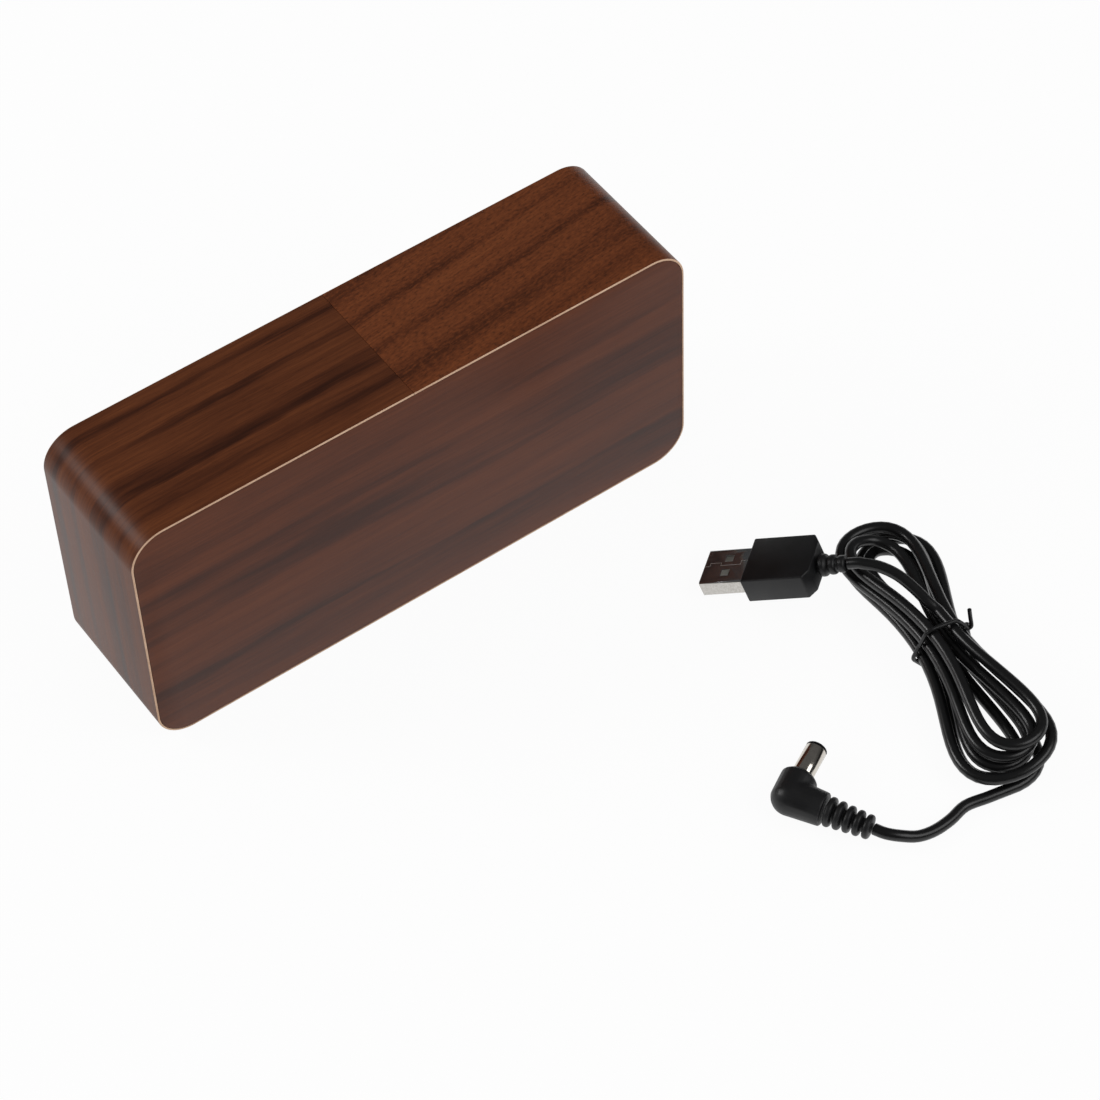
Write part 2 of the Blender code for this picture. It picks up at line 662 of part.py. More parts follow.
def make_back_cover():
    edge = rounded_outline(PLATE_LENGTH, PLATE_HEIGHT, PLATE_RADIUS, 4)
    socket_x, socket_z = socket_place()
    holes = [circle_outline(SOCKET_MOUTH_RADIUS, socket_x, socket_z - MIDDLE_Z)]
    half = BUTTON_SIDE / 2 + BUTTON_CLEARANCE
    square = [(-half, -half), (half, -half), (half, half), (-half, half)]
    for x, z in button_places():
        holes.append(moved(square, x, z - MIDDLE_Z))
    for x, z in screw_places():
        holes.append(circle_outline(SCREW_RADIUS + SEAT_GAP, x, z - MIDDLE_Z, 12))
    buzzer_x, buzzer_z = buzzer_place()
    for slot in range(GRILLE_SLOTS):
        x = buzzer_x + (slot - (GRILLE_SLOTS - 1) / 2) * GRILLE_PITCH
        bar = rounded_outline(GRILLE_SLOT, GRILLE_LENGTH, GRILLE_SLOT / 2 - TINY, 2)
        holes.append(moved(bar, x, buzzer_z - MIDDLE_Z))
    plate = front_plate("back_plate", [edge] + holes, PLATE_FRONT, PLATE_BACK, BLACK_PLASTIC)
    tub_low = (BAY_LEFT - BAY_WALL, BAY_FLOOR - BAY_WALL, BAY_BASE - BAY_WALL)
    tub_high = (BAY_RIGHT + BAY_WALL, PLATE_BACK - DOOR_THICKNESS / 2, BAY_TOP + BAY_WALL)
    join(plate, add_cutter("bay_tub", box_mesh("bay_tub", tub_low, tub_high)))
    for number, (x, z) in enumerate(post_places(), 1):
        post = rod_mesh("post", POST_RADIUS, (x, SEATED, z), (x, PLATE_FRONT + PLATE_THICKNESS / 2, z), 16)
        join(plate, add_cutter(f"board_post_{number}", post))
        start, end = (x, SEATED - OVERRUN, z), (x, SEATED + PILOT_DEPTH, z)
        pilot = rod_mesh("post_pilot", SCREW_RADIUS + SEAT_GAP, start, end, 12)
        cut(plate, add_cutter(f"post_pilot_{number}", pilot))
    bay = box_mesh("bay_space", (BAY_LEFT, BAY_FLOOR, BAY_BASE), (BAY_RIGHT, BACK + OVERRUN, BAY_TOP))
    cut(plate, add_cutter("bay_space", bay))
    seat_low = (BAY_X - DOOR_LENGTH / 2 - SEAT_GAP, BAY_RIM, DOOR_BASE - SEAT_GAP)
    seat_high = (BAY_X + DOOR_LENGTH / 2 + SEAT_GAP, BACK + OVERRUN, DOOR_BASE + DOOR_HEIGHT + SEAT_GAP)
    cut(plate, add_cutter("door_seat", box_mesh("door_seat", seat_low, seat_high)))
    cut_tab_notches(plate)
    ribs = []
    for rib in range(1, CELL_COUNT):
        z = BAY_BASE + rib * CELL_PITCH
        low = (BAY_X - CELL_LENGTH / 2, BAY_FLOOR - BAY_WALL / 2, z - BAY_RIB / 2)
        ribs.append((low, (BAY_X + CELL_LENGTH / 2, BAY_FLOOR + BAY_RIB_HEIGHT, z + BAY_RIB / 2)))
    join(plate, add_cutter("cell_ribs", boxes_mesh("cell_ribs", ribs)))
    for number, (x, z) in enumerate(screw_places(), 1):
        start = (x, PLATE_BACK - SCREW_HEAD_HEIGHT - SEAT_GAP, z)
        sink = rod_mesh("sink", SCREW_HEAD_RADIUS + SEAT_GAP, start, (x, BACK, z), 16)
        cut(plate, add_cutter(f"screw_sink_{number}", sink))


def cut_tab_notches(plate):
    """Room in the bay's lower wall for the door's hooks, shut or swinging."""
    reach = DOOR_TAB_LENGTH / 2 + SEAT_GAP
    inside = BAY_BASE + OVERRUN
    front = TAB_FRONT - 2 * SEAT_GAP
    for number, x in enumerate(tab_places(), 1):
        notch_low = (x - reach, front, DOOR_BASE - DOOR_TAB_REACH - SEAT_GAP)
        notch = box_mesh("notch", notch_low, (x + reach, PLATE_FRONT, inside))
        rise = box_mesh("rise", (x - reach, front, DOOR_BASE), (x + reach, BAY_RIM + OVERRUN, inside))
        cut(plate, add_cutter(f"tab_notch_{number}", notch), add_cutter(f"tab_rise_{number}", rise))


def tab_places():
    quarter = DOOR_LENGTH / 4
    return [BAY_X - quarter, BAY_X + quarter]


def make_battery_door():
    """A lid with a springy tongue and two hooks, and with its origin on the hinge's axis."""
    outline = rounded_outline(DOOR_LENGTH, DOOR_HEIGHT, DOOR_LAP / 2, 2)
    outer, inner = LATCH_WIDTH / 2, LATCH_WIDTH / 2 - LATCH_SLOT
    top = DOOR_HEIGHT / 2 - LATCH_INSET
    foot, under = top - LATCH_LENGTH, top - LATCH_SLOT
    left_side = [(-outer, foot), (-inner, foot), (-inner, under)]
    right_side = [(inner, under), (inner, foot), (outer, foot)]
    slot = left_side + right_side + [(outer, top), (-outer, top)]
    middle = DOOR_BASE + DOOR_HEIGHT / 2
    door = front_plate("battery_door", [outline, slot], DOOR_FRONT, PLATE_BACK, BLACK_PLASTIC, BAY_X, middle)
    hinge = Vector((BAY_X, PLATE_BACK, DOOR_BASE))
    door.data.transform(Matrix.Translation(-(door.matrix_world.inverted() @ hinge)))
    door.matrix_world = upright(hinge.y, hinge.x, hinge.z)
    hook_top = BAY_BASE + DOOR_TAB_REACH
    for number, x in enumerate(tab_places(), 1):
        left, right = x - DOOR_TAB_LENGTH / 2, x + DOOR_TAB_LENGTH / 2
        hook = box_mesh("hook", (left, TAB_FRONT, DOOR_BASE - DOOR_TAB_REACH), (right, TAB_BACK, hook_top))
        web_low = (left, TAB_BACK - DOOR_TAB_THICKNESS / 2, DOOR_BASE + SEAT_GAP)
        web = box_mesh("web", web_low, (right, DOOR_FRONT + DOOR_THICKNESS / 2, hook_top - SEAT_GAP))
        join(door, add_cutter(f"door_hook_{number}", hook), add_cutter(f"door_web_{number}", web))


def helix_mesh(name, wire, radius_start, radius_end, length, turns, points_per_turn=9):
    """A wire coil along Z from the origin, its first and last turn nearly closed."""
    curve = bpy.data.curves.new(name, "CURVE")
    curve.dimensions = "3D"
    curve.bevel_depth = wire / 2
    curve.bevel_resolution = 1
    curve.use_fill_caps = True
    count = turns * points_per_turn + 1
    spline = curve.splines.new("POLY")
    spline.points.add(count - 1)
    for number in range(count):
        share = number / (count - 1)
        angle = 2 * pi * turns * share
        radius = radius_start + (radius_end - radius_start) * share
        height = wire / 2 + (length - wire) * share
        spline.points[number].co = (radius * cos(angle), radius * sin(angle), height, 1)
    return solid_of_curve(name, curve)


def make_contacts():
    """A coil at one end of each cell and a flat contact with a bump at the other, by turns."""
    y = BAY_FLOOR + BAY_RIB_HEIGHT / 2 + CELL_RADIUS
    half = CONTACT_SIDE / 2
    for number in range(CELL_COUNT):
        side = 1 if number % 2 else -1
        z = BAY_BASE + (number + 1 / 2) * CELL_PITCH
        wall = BAY_X + side * (BAY_LENGTH / 2 - SEAT_GAP)
        coil = helix_mesh(
            "contact_spring", SPRING_WIRE, SPRING_BASE_RADIUS, SPRING_TIP_RADIUS, SPRING_LENGTH, SPRING_TURNS
        )
        shade(add_part(f"contact_spring_{number + 1}", coil, NICKEL, along((wall, y, z), (-side, 0, 0))))
        wall = BAY_X - side * (BAY_LENGTH / 2 - SEAT_GAP)
        face = wall + side * CONTACT_THICKNESS
        low, high = (min(wall, face), y - half, z - half), (max(wall, face), y + half, z + half)
        contact = add_part(f"contact_plate_{number + 1}", box_mesh("contact_plate", low, high), NICKEL)
        start, end = ((wall + face) / 2, y, z), (face + side * CONTACT_BUMP, y, z)
        bump = rod_mesh("bump", CONTACT_BUMP_RADIUS, start, end, 12)
        join(contact, add_cutter(f"contact_bump_{number + 1}", bump))


def pan_screw(name, x, y, z, direction, length):
    """A pan head and a plain shank, its head's top at y."""
    head = SCREW_HEAD_HEIGHT
    profile = (
        (0, 0),
        (SCREW_HEAD_FLAT, 0),
        (SCREW_HEAD_RADIUS, -head / 2),
        (SCREW_HEAD_RADIUS, -head),
        (SCREW_RADIUS, -head),
        (SCREW_RADIUS, SCREW_RADIUS - length),
        (0, -length),
    )
    return turned(name, profile, STEEL, along((x, y, z), direction), 12)


def make_screws():
    for number, (x, z) in enumerate(screw_places(), 1):
        pan_screw(f"back_screw_{number}", x, PLATE_BACK, z, FACING_BACK, SCREW_LENGTH)
    for number, (x, z) in enumerate(post_places(), 1):
        y = MAIN_BOARD_FRONT - SEAT_GAP - SCREW_HEAD_HEIGHT
        pan_screw(f"board_screw_{number}", x, y, z, FACING_FRONT, BOARD_SCREW_LENGTH)


def make_main_board():
    edge = rounded_outline(MAIN_BOARD_LENGTH, MAIN_BOARD_HEIGHT, POST_INSET / 4, 2)
    hole = SCREW_RADIUS + SEAT_GAP
    holes = [circle_outline(hole, x - MAIN_BOARD_X, z - MIDDLE_Z, 12) for x, z in post_places()]
    front_plate("main_board", [edge] + holes, MAIN_BOARD_FRONT, MAIN_BOARD_BACK, GREEN_BOARD, MAIN_BOARD_X)


def make_buttons():
    switch_top = SEATED + SWITCH_HEIGHT
    plunger_base = switch_top - PLUNGER_SUNK
    plunger_top = plunger_base + PLUNGER_LENGTH
    flange_back = PLATE_FRONT - SEAT_GAP
    names = ("button_set", "button_up", "button_down")
    for number, ((x, z), name) in enumerate(zip(button_places(), names), 1):
        low = (x - SWITCH_SIDE / 2, SEATED, z - SWITCH_SIDE / 2)
        high = (x + SWITCH_SIDE / 2, switch_top, z + SWITCH_SIDE / 2)
        switch = add_part(f"tact_switch_{number}", box_mesh("tact_switch", low, high), BLACK_PLASTIC)
        well_start, well_end = (x, plunger_base - BUTTON_TRAVEL - SEAT_GAP, z), (x, switch_top + OVERRUN, z)
        well = rod_mesh("well", PLUNGER_RADIUS + SEAT_GAP, well_start, well_end, 16)
        cut(switch, add_cutter(f"switch_well_{number}", well))
        plunger = rod_mesh("plunger", PLUNGER_RADIUS, (x, plunger_base, z), (x, plunger_top, z), 16)
        shade(add_part(f"tact_plunger_{number}", plunger, WHITE_PLASTIC))
        length = PLATE_BACK + BUTTON_PROUD - plunger_top - SEAT_GAP
        flange_top = flange_back - plunger_top - SEAT_GAP
        make_button(name, along((x, plunger_top + SEAT_GAP, z), FACING_BACK), length, flange_top)


def make_button(name, frame, length, flange_top):
    """A square cap on a flange and a round stem, with its origin at the stem's end."""
    flange_base = flange_top - BUTTON_FLANGE_THICKNESS
    inside_flange = flange_top - BUTTON_FLANGE_THICKNESS / 2
    outline = rounded_outline(BUTTON_SIDE, BUTTON_SIDE, BUTTON_CORNER, 3)
    cap = plate_mesh(name, [outline], length - inside_flange)
    cap.transform(Matrix.Translation((0, 0, (length + inside_flange) / 2)))
    button = add_part(name, cap, BLACK_PLASTIC, frame)
    bevel(button, BUTTON_EDGE, 2)
    rim = BUTTON_SIDE / 2 + BUTTON_FLANGE
    flange = box_mesh("flange", (-rim, -rim, flange_base), (rim, rim, flange_top))
    stem = rod_mesh("stem", PLUNGER_RADIUS, (0, 0, 0), (0, 0, inside_flange), 16)
    join(button, add_cutter(f"{name}_flange", flange, frame), add_cutter(f"{name}_stem", stem, frame))
    shade(button)


def make_socket():
    x, z = socket_place()
    mouth = PLATE_FRONT - SEAT_GAP
    half = SOCKET_SIDE / 2
    block = box_mesh("dc_socket", (x - half, SEATED, z - half), (x + half, mouth, z + half))
    socket = add_part("dc_socket", block, BLACK_PLASTIC)
    bottom = mouth - SOCKET_BORE_DEPTH
    bore = rod_mesh("socket_bore", SOCKET_BORE, (x, bottom, z), (x, mouth + OVERRUN, z), 20)
    cut(socket, add_cutter("socket_bore", bore))
    foot = bottom + SEAT_GAP
    pin = rod_mesh("dc_socket_pin", SOCKET_PIN_RADIUS, (x, foot, z), (x, foot + SOCKET_PIN_LENGTH, z), 12)
    shade(add_part("dc_socket_pin", pin, NICKEL))


def make_board_parts():
    make_buzzer()
    make_capacitor()
    make_microphone()
    make_thermistor()
    make_crystal()
    make_chip()
    make_coin_cell()
    make_board_link()


def make_buzzer():
    x, z = buzzer_place()
    profile = (
        (0, BUZZER_HEIGHT),
        (BUZZER_RADIUS - BUZZER_EDGE, BUZZER_HEIGHT),
        (BUZZER_RADIUS, BUZZER_HEIGHT - BUZZER_EDGE),
        (BUZZER_RADIUS, 0),
        (0, 0),
    )
    buzzer = turned("buzzer", profile, BLACK_PLASTIC, along((x, SEATED, z), FACING_BACK), 20)
    top = SEATED + BUZZER_HEIGHT
    hole = rod_mesh("buzzer_hole", BUZZER_HOLE, (x, top - BUZZER_HEIGHT / 2, z), (x, top + OVERRUN, z), 12)
    cut(buzzer, add_cutter("buzzer_hole", hole))


def make_capacitor():
    socket_x, z = socket_place()
    x = socket_x + SOCKET_SIDE / 2 + CAPACITOR_GAP + CAPACITOR_RADIUS
    groove = CAPACITOR_GROOVE
    profile = (
        (0, CAPACITOR_HEIGHT),
        (CAPACITOR_RADIUS - groove, CAPACITOR_HEIGHT),
        (CAPACITOR_RADIUS, CAPACITOR_HEIGHT - groove),
        (CAPACITOR_RADIUS, CAPACITOR_NECK + groove),
        (CAPACITOR_RADIUS - groove, CAPACITOR_NECK),
        (CAPACITOR_RADIUS, CAPACITOR_NECK - groove),
        (CAPACITOR_RADIUS, 0),
        (0, 0),
    )
    turned("capacitor", profile, STEEL, along((x, SEATED, z), FACING_BACK), 16)


def make_microphone():
    lip = MICROPHONE_LIP
    profile = (
        (0, MICROPHONE_HEIGHT - lip / 2),
        (MICROPHONE_RADIUS - 2 * lip, MICROPHONE_HEIGHT - lip / 2),
        (MICROPHONE_RADIUS - lip, MICROPHONE_HEIGHT),
        (MICROPHONE_RADIUS, MICROPHONE_HEIGHT - lip),
        (MICROPHONE_RADIUS, 0),
        (0, 0),
    )
    x, z = MAIN_BOARD_X - MICROPHONE_SHIFT, MIDDLE_Z - MICROPHONE_DROP
    turned("microphone", profile, STEEL, along((x, SEATED, z), FACING_BACK), 16)


def make_thermistor():
    """A bead on a stem, at the board's edge beside the buttons."""
    stem = THERMISTOR_RADIUS / 2
    profile = [(0, THERMISTOR_HEIGHT)]
    for step in range(1, 5):
        angle = step * pi / 6
        height = THERMISTOR_HEIGHT - THERMISTOR_RADIUS * (1 - cos(angle))
        profile.append((THERMISTOR_RADIUS * sin(angle), height))
    profile += [(stem, THERMISTOR_HEIGHT - 2 * THERMISTOR_RADIUS), (stem, 0), (0, 0)]
    x = MAIN_BOARD_X - MAIN_BOARD_LENGTH / 2 + THERMISTOR_INSET
    place = (x, SEATED, MIDDLE_Z - BUTTON_DROP)
    turned("thermistor", profile, BLACK_PLASTIC, along(place, FACING_BACK), 12)


def make_crystal():
    x, y, z = MAIN_BOARD_X + CHIP_SHIFT, SEATED_FRONT - CRYSTAL_RADIUS, MIDDLE_Z + CRYSTAL_RISE
    half = CRYSTAL_LENGTH / 2
    can = rod_mesh("crystal_can", CRYSTAL_RADIUS, (x - half, y, z), (x + half, y, z), 14)
    shade(add_part("crystal_can", can, STEEL))


def make_chip():
    x, z = MAIN_BOARD_X + CHIP_SHIFT, MIDDLE_Z - CHIP_DROP
    low = (x - CHIP_LENGTH / 2, SEATED_FRONT - CHIP_HEIGHT, z - CHIP_WIDTH / 2)
    body = box_mesh("mcu_chip", low, (x + CHIP_LENGTH / 2, SEATED_FRONT, z + CHIP_WIDTH / 2))
    chip = add_part("mcu_chip", body, BLACK_PLASTIC)
    foot, half = SEATED_FRONT - CHIP_HEIGHT / 3, CHIP_LEG_WIDTH / 2
    reach = CHIP_WIDTH / 2 + CHIP_LEG_REACH
    legs = []
    for leg in range(CHIP_LEGS):
        leg_x = x + (leg - (CHIP_LEGS - 1) / 2) * CHIP_LENGTH / CHIP_LEGS
        legs.append(((leg_x - half, foot, z - reach), (leg_x + half, foot + half, z + reach)))
    join(chip, add_cutter("chip_legs", boxes_mesh("chip_legs", legs)))


def make_coin_cell():
    """The cell that keeps the time, in its open holder on the board's front."""
    x, z = MAIN_BOARD_X - COIN_SHIFT, MIDDLE_Z
    pocket = COIN_RADIUS + SEAT_GAP
    rim = SEATED_FRONT - HOLDER_HEIGHT
    block = rod_mesh("coin_cell_holder", pocket + HOLDER_WALL, (x, SEATED_FRONT, z), (x, rim, z), 28)
    holder = add_part("coin_cell_holder", block, BLACK_PLASTIC)
    floor_y = SEATED_FRONT - HOLDER_WALL
    room = rod_mesh("coin_pocket", pocket, (x, floor_y, z), (x, rim - OVERRUN, z), 28)
    cut(holder, add_cutter("coin_pocket", room))
    profile = (
        (0, COIN_HEIGHT),
        (COIN_RADIUS - 2 * COIN_EDGE, COIN_HEIGHT),
        (COIN_RADIUS - COIN_EDGE, COIN_HEIGHT - COIN_EDGE),
        (COIN_RADIUS, COIN_HEIGHT - 2 * COIN_EDGE),
        (COIN_RADIUS, 0),
        (0, 0),
    )
    turned("coin_cell", profile, STEEL, along((x, floor_y - SEAT_GAP, z), FACING_FRONT), 24)


def make_board_link():
    """The stacking connector that joins the two boards and sets their distance."""
    x, z = MAIN_BOARD_X - HEADER_SHIFT, MIDDLE_Z - MAIN_BOARD_HEIGHT / 2 + HEADER_WIDTH
    low = (x - HEADER_LENGTH / 2, DISPLAY_BOARD_BACK + SEAT_GAP, z - HEADER_WIDTH / 2)
    high = (x + HEADER_LENGTH / 2, SEATED_FRONT, z + HEADER_WIDTH / 2)
    add_part("board_link", box_mesh("board_link", low, high), BLACK_PLASTIC)


def tube_mesh(name, points, diameter, resolution):
    curve = bpy.data.curves.new(name, "CURVE")
    curve.dimensions = "3D"
    curve.bevel_depth = diameter / 2
    curve.bevel_resolution = resolution
    curve.use_fill_caps = True
    spline = curve.splines.new("POLY")
    spline.points.add(len(points) - 1)
    for point, place in zip(spline.points, points):
        point.co = (*place, 1)
    return solid_of_curve(name, curve)


def smooth_step(share):
    share = min(max(share, 0), 1)
    return share * share * (3 - 2 * share)


def hank_inset(turn):
    """Steps in from the outermost loop: it winds in, out, in and out again."""
    inset, sense, last = 0, 1, 0
    for back in REVERSAL_TURNS:
        inset += sense * (min(turn, back) - last)
        if turn <= back:
            return inset
        sense, last = -sense, back
    return inset + sense * (turn - last)


def hank_point(turn):
    """A point of the wound cord. Whole turns are where it goes up past the right of the waist."""
    inset = hank_inset(turn)
    layer = sum(smooth_step((turn - back + CLIMB_SHARE) / (2 * CLIMB_SHARE)) for back in REVERSAL_TURNS)
    fanned = sum(smooth_step((turn - back + FAN_SHARE) / (2 * FAN_SHARE)) for back in REVERSAL_TURNS)
    angle = 2 * pi * turn
    waist = HANK_WAIST_HALF - HANK_WAIST_STEP * inset
    bulge = (HANK_BULGE - HANK_STEP * inset - FOLD_SHARES[0] * waist) / FOLD_SHARES[1]
    across = cos(angle) * (waist + bulge * sin(angle) ** 2) - HANK_LAYER_SHIFT * fanned
    up = (HANK_HALF_LENGTH - HANK_STEP * inset) * sin(angle)
    lean = HANK_AXIS - HANK_FAN * fanned
    lift = HANK_TIE_LIFT * smooth_step((HANK_LIFT_NONE - abs(up)) / (HANK_LIFT_NONE - HANK_LIFT_FULL))
    return Vector((
        HANK_WAIST[0] + across * cos(lean) + up * sin(lean),
        HANK_WAIST[1] - across * sin(lean) + up * cos(lean),
        CORD_DIAMETER / 2 + SEAT_GAP + HANK_LAYER_RISE * layer + lift,
    ))


def hank_route():
    steps = round((HANK_LAST_TURN - HANK_FIRST_TURN) * HANK_LOOP_POINTS)
    return [hank_point(HANK_FIRST_TURN + step / HANK_LOOP_POINTS) for step in range(steps + 1)]


def nearest_gap(points):
    """The least gap between stretches of the cord that don't follow on, and its length."""
    fine, run = [], 0
    for first, second in zip(points, points[1:]):
        stretch = (second - first).length
        for part in range(4):
            fine.append((first.lerp(second, part / 4), run + stretch * part / 4))
        run += stretch
    least = run
    for number, (place, along_run) in enumerate(fine):
        for other, other_run in fine[number + 1:]:
            if other_run - along_run > 4 * CORD_DIAMETER:
                least = min(least, (place - other).length)
    return least - CORD_DIAMETER, run


def through(points, step):
    """Points a step apart on a smooth curve through the given ones."""
    padded = [2 * points[0] - points[1]] + list(points) + [2 * points[-1] - points[-2]]
    found = [points[0]]
    for before, start, end, after in zip(padded, padded[1:], padded[2:], padded[3:]):
        count = max(1, round((end - start).length / step))
        for number in range(1, count + 1):
            t = number / count
            found.append((
                2 * start
                + (end - before) * t
                + (2 * before - 5 * start + 4 * end - after) * t ** 2
                + (3 * start - before - 3 * end + after) * t ** 3
            ) / 2)
    return found


def usb_frame():
    """The USB plug's frame: its X runs from the tip to the cord."""
    heading, pitch = Matrix.Rotation(USB_HEADING, 4, "Z"), Matrix.Rotation(-USB_PITCH, 4, "Y")
    return Matrix.Translation(USB_TIP) @ heading @ pitch @ Matrix.Rotation(USB_ROLL, 4, "X")


def ribbed_profile(length, start_radius, end_radius, ribs, groove):
    """A tapered relief from its far end to its base, never thinner than the cord."""
    core = CORD_DIAMETER / 2
    profile = [(0, length), (end_radius - groove, length)]
    pitch = length / ribs
    for rib in range(ribs):
        middle = length - (rib + 1 / 2) * pitch
        radius = end_radius + (start_radius - end_radius) * rib / (ribs - 1)
        profile.append((radius, middle + pitch / 5))
        profile.append((radius, middle - pitch / 5))
        profile.append((max(radius - groove, core), middle - pitch / 2))
    profile.append((0, 0))
    return profile


def make_usb_plug():
    frame = usb_frame()
    pose = bpy.data.objects.new("usb_plug_pose", None)
    pose.matrix_world = frame
    PARTS.objects.link(pose)
    bpy.context.view_layer.update()
    lying = Matrix.Rotation(pi / 2, 4, "Y")
    sheet = USB_SHELL_WALL
    outer = rounded_outline(USB_THICKNESS, USB_WIDTH, USB_SHELL_RADIUS, 3)
    inner = rounded_outline(USB_THICKNESS - 2 * sheet, USB_WIDTH - 2 * sheet, USB_SHELL_RADIUS / 2, 3)
    tube = plate_mesh("usb_shell", [outer, inner], USB_SHELL_LENGTH)
    tube.transform(Matrix.Translation((USB_SHELL_LENGTH / 2, 0, 0)) @ lying)
    shell = riding("usb_shell", tube, NICKEL, pose)
    for number, side in enumerate((-1, 1), 1):
        centre = (USB_WINDOW_FROM_TIP, side * USB_WINDOW_SPREAD / 2, 0)
        window = centred_box("usb_window", centre, (USB_WINDOW, USB_WINDOW, 2 * USB_THICKNESS))
        boolean(shell, add_cutter(f"usb_window_{number}", window, frame), "DIFFERENCE", "MANIFOLD")
    room = USB_WIDTH - 2 * sheet - 2 * SEAT_GAP
    low = (2 * SEAT_GAP, -room / 2, -USB_THICKNESS / 2 + sheet + SEAT_GAP)
    high = (USB_SHELL_LENGTH, room / 2, low[2] + USB_TONGUE_THICKNESS)
    riding("usb_tongue", box_mesh("usb_tongue", low, high), WHITE_PLASTIC, pose)
    start = USB_SHELL_LENGTH + SEAT_GAP
    outline = [(0, 0), (USB_GRIP_LENGTH - USB_GRIP_TAPER, 0), (USB_GRIP_LENGTH, USB_GRIP_TAPER)]
    half = USB_GRIP_WIDTH / 2
    side_points = [(start + x, y - half) for x, y in outline]
    edge = side_points + [(x, -y) for x, y in reversed(side_points)]
    block = plate_mesh("usb_grip", [edge], USB_GRIP_THICKNESS)
    grip = riding("usb_grip", block, BLACK_RUBBER, pose)
    bevel(grip, USB_GRIP_EDGE, 2)
    shade(grip)
    base = start + USB_GRIP_LENGTH + SEAT_GAP
    profile = ribbed_profile(
        USB_RELIEF_LENGTH, USB_RELIEF_RADIUS, USB_RELIEF_END_RADIUS, USB_RELIEF_RIBS, USB_RELIEF_GROOVE
    )
    relief = turned("usb_relief", profile, BLACK_RUBBER, frame @ along((base, 0, 0), (1, 0, 0)), 14)
    shade(relief)
    return frame @ Vector((base + USB_RELIEF_LENGTH + SEAT_GAP, 0, 0)), frame.to_3x3() @ Vector((1, 0, 0))


def riding(name, mesh, look, parent):
    """A sub-part built in its parent empty's own frame."""
    obj = add_part(name, mesh, look)
    obj.parent = parent
    return obj


def make_dc_plug():
    height = DC_COLLAR_RADIUS + DC_LIFT
    elbow = Vector((*DC_ELBOW, height))
    cordward = Vector((cos(DC_CORD_HEADING), sin(DC_CORD_HEADING), 0))
    barrelward = Vector((-cordward.y, cordward.x, 0))
    reach, edge = DC_COLLAR_REACH, DC_COLLAR_EDGE
    collar_profile = [(0, reach), (DC_COLLAR_RADIUS - edge, reach), (DC_COLLAR_RADIUS, reach - edge)]
    for step in range(1, 6):
        angle = step * pi / 10
        collar_profile.append((DC_COLLAR_RADIUS * cos(angle), -DC_COLLAR_RADIUS * sin(angle)))
    grip = turned("dc_grip", collar_profile, BLACK_RUBBER, along(elbow, barrelward), 20)
    body_mesh = rod_mesh("dc_body", 1, (0, 0, 0), (0, 0, 1), 20)
    for vertex in body_mesh.vertices:
        share = vertex.co.z
        radius = DC_COLLAR_RADIUS + (DC_BODY_END_RADIUS - DC_COLLAR_RADIUS) * share
        vertex.co = (vertex.co.x * radius, vertex.co.y * radius, share * DC_BODY_LENGTH)
    join(grip, add_cutter("dc_body", body_mesh, along(elbow, cordward)))
    shade(grip)
    barrel_start = elbow + barrelward * (reach + SEAT_GAP)
    barrel_length = DC_BARREL_LENGTH - DC_RING_LENGTH - SEAT_GAP
    inner, outer = DC_BARREL_BORE, DC_BARREL_RADIUS
    tube = ((inner, barrel_length), (outer, barrel_length), (outer, 0), (inner, 0))
    shade(turned("dc_barrel", tube, NICKEL, along(barrel_start, barrelward), 20))
    ring_start = barrel_start + barrelward * (barrel_length + SEAT_GAP)
    bevelled = DC_RING_LENGTH / 2
    ring = (
        (inner, DC_RING_LENGTH),
        (outer - bevelled, DC_RING_LENGTH),
        (outer, DC_RING_LENGTH - bevelled),
        (outer, 0),
        (inner, 0),
    )
    shade(turned("dc_tip_ring", ring, BLACK_PLASTIC, along(ring_start, barrelward), 20))
    relief_start = elbow + cordward * (DC_BODY_LENGTH + SEAT_GAP)
    profile = ribbed_profile(
        DC_RELIEF_LENGTH, DC_RELIEF_RADIUS, DC_RELIEF_END_RADIUS, DC_RELIEF_RIBS, DC_RELIEF_GROOVE
    )
    shade(turned("dc_relief", profile, BLACK_RUBBER, along(relief_start, cordward), 14))
    return relief_start + cordward * (DC_RELIEF_LENGTH + SEAT_GAP), cordward


def make_cord(usb_exit, usb_way, dc_exit, dc_way):
    hank = hank_route()
    gap, length = nearest_gap(hank)
    print(f"hank: least gap to itself {gap:.5f} m, cord in it {length:.3f} m")
    first_way = (hank[0] - hank[1]).normalized()
    last_way = (hank[-1] - hank[-2]).normalized()
    hank = [hank[0] + first_way * CORD_DIAMETER] + hank + [hank[-1] + last_way * CORD_DIAMETER]
    shade(add_part("cord_hank", tube_mesh("cord_hank", hank, CORD_DIAMETER, 1), BLACK_RUBBER))
    routes = (
        ("cord_lead_usb", usb_exit, usb_way, USB_LEAD_ROUTE, hank[-1], last_way),
        ("cord_lead_dc", dc_exit, dc_way, DC_LEAD_ROUTE, hank[0], first_way),
    )
    for name, leaves, way_out, route, arrives, way_in in routes:
        end = arrives + way_in * SEAT_GAP
        points = [leaves, leaves + way_out * CORD_DIAMETER]
        points += [Vector(place) for place in route]
        points += [end + way_in * CORD_DIAMETER, end]
        shade(add_part(name, tube_mesh(name, through(points, LEAD_STEP), CORD_DIAMETER, 2), BLACK_RUBBER))


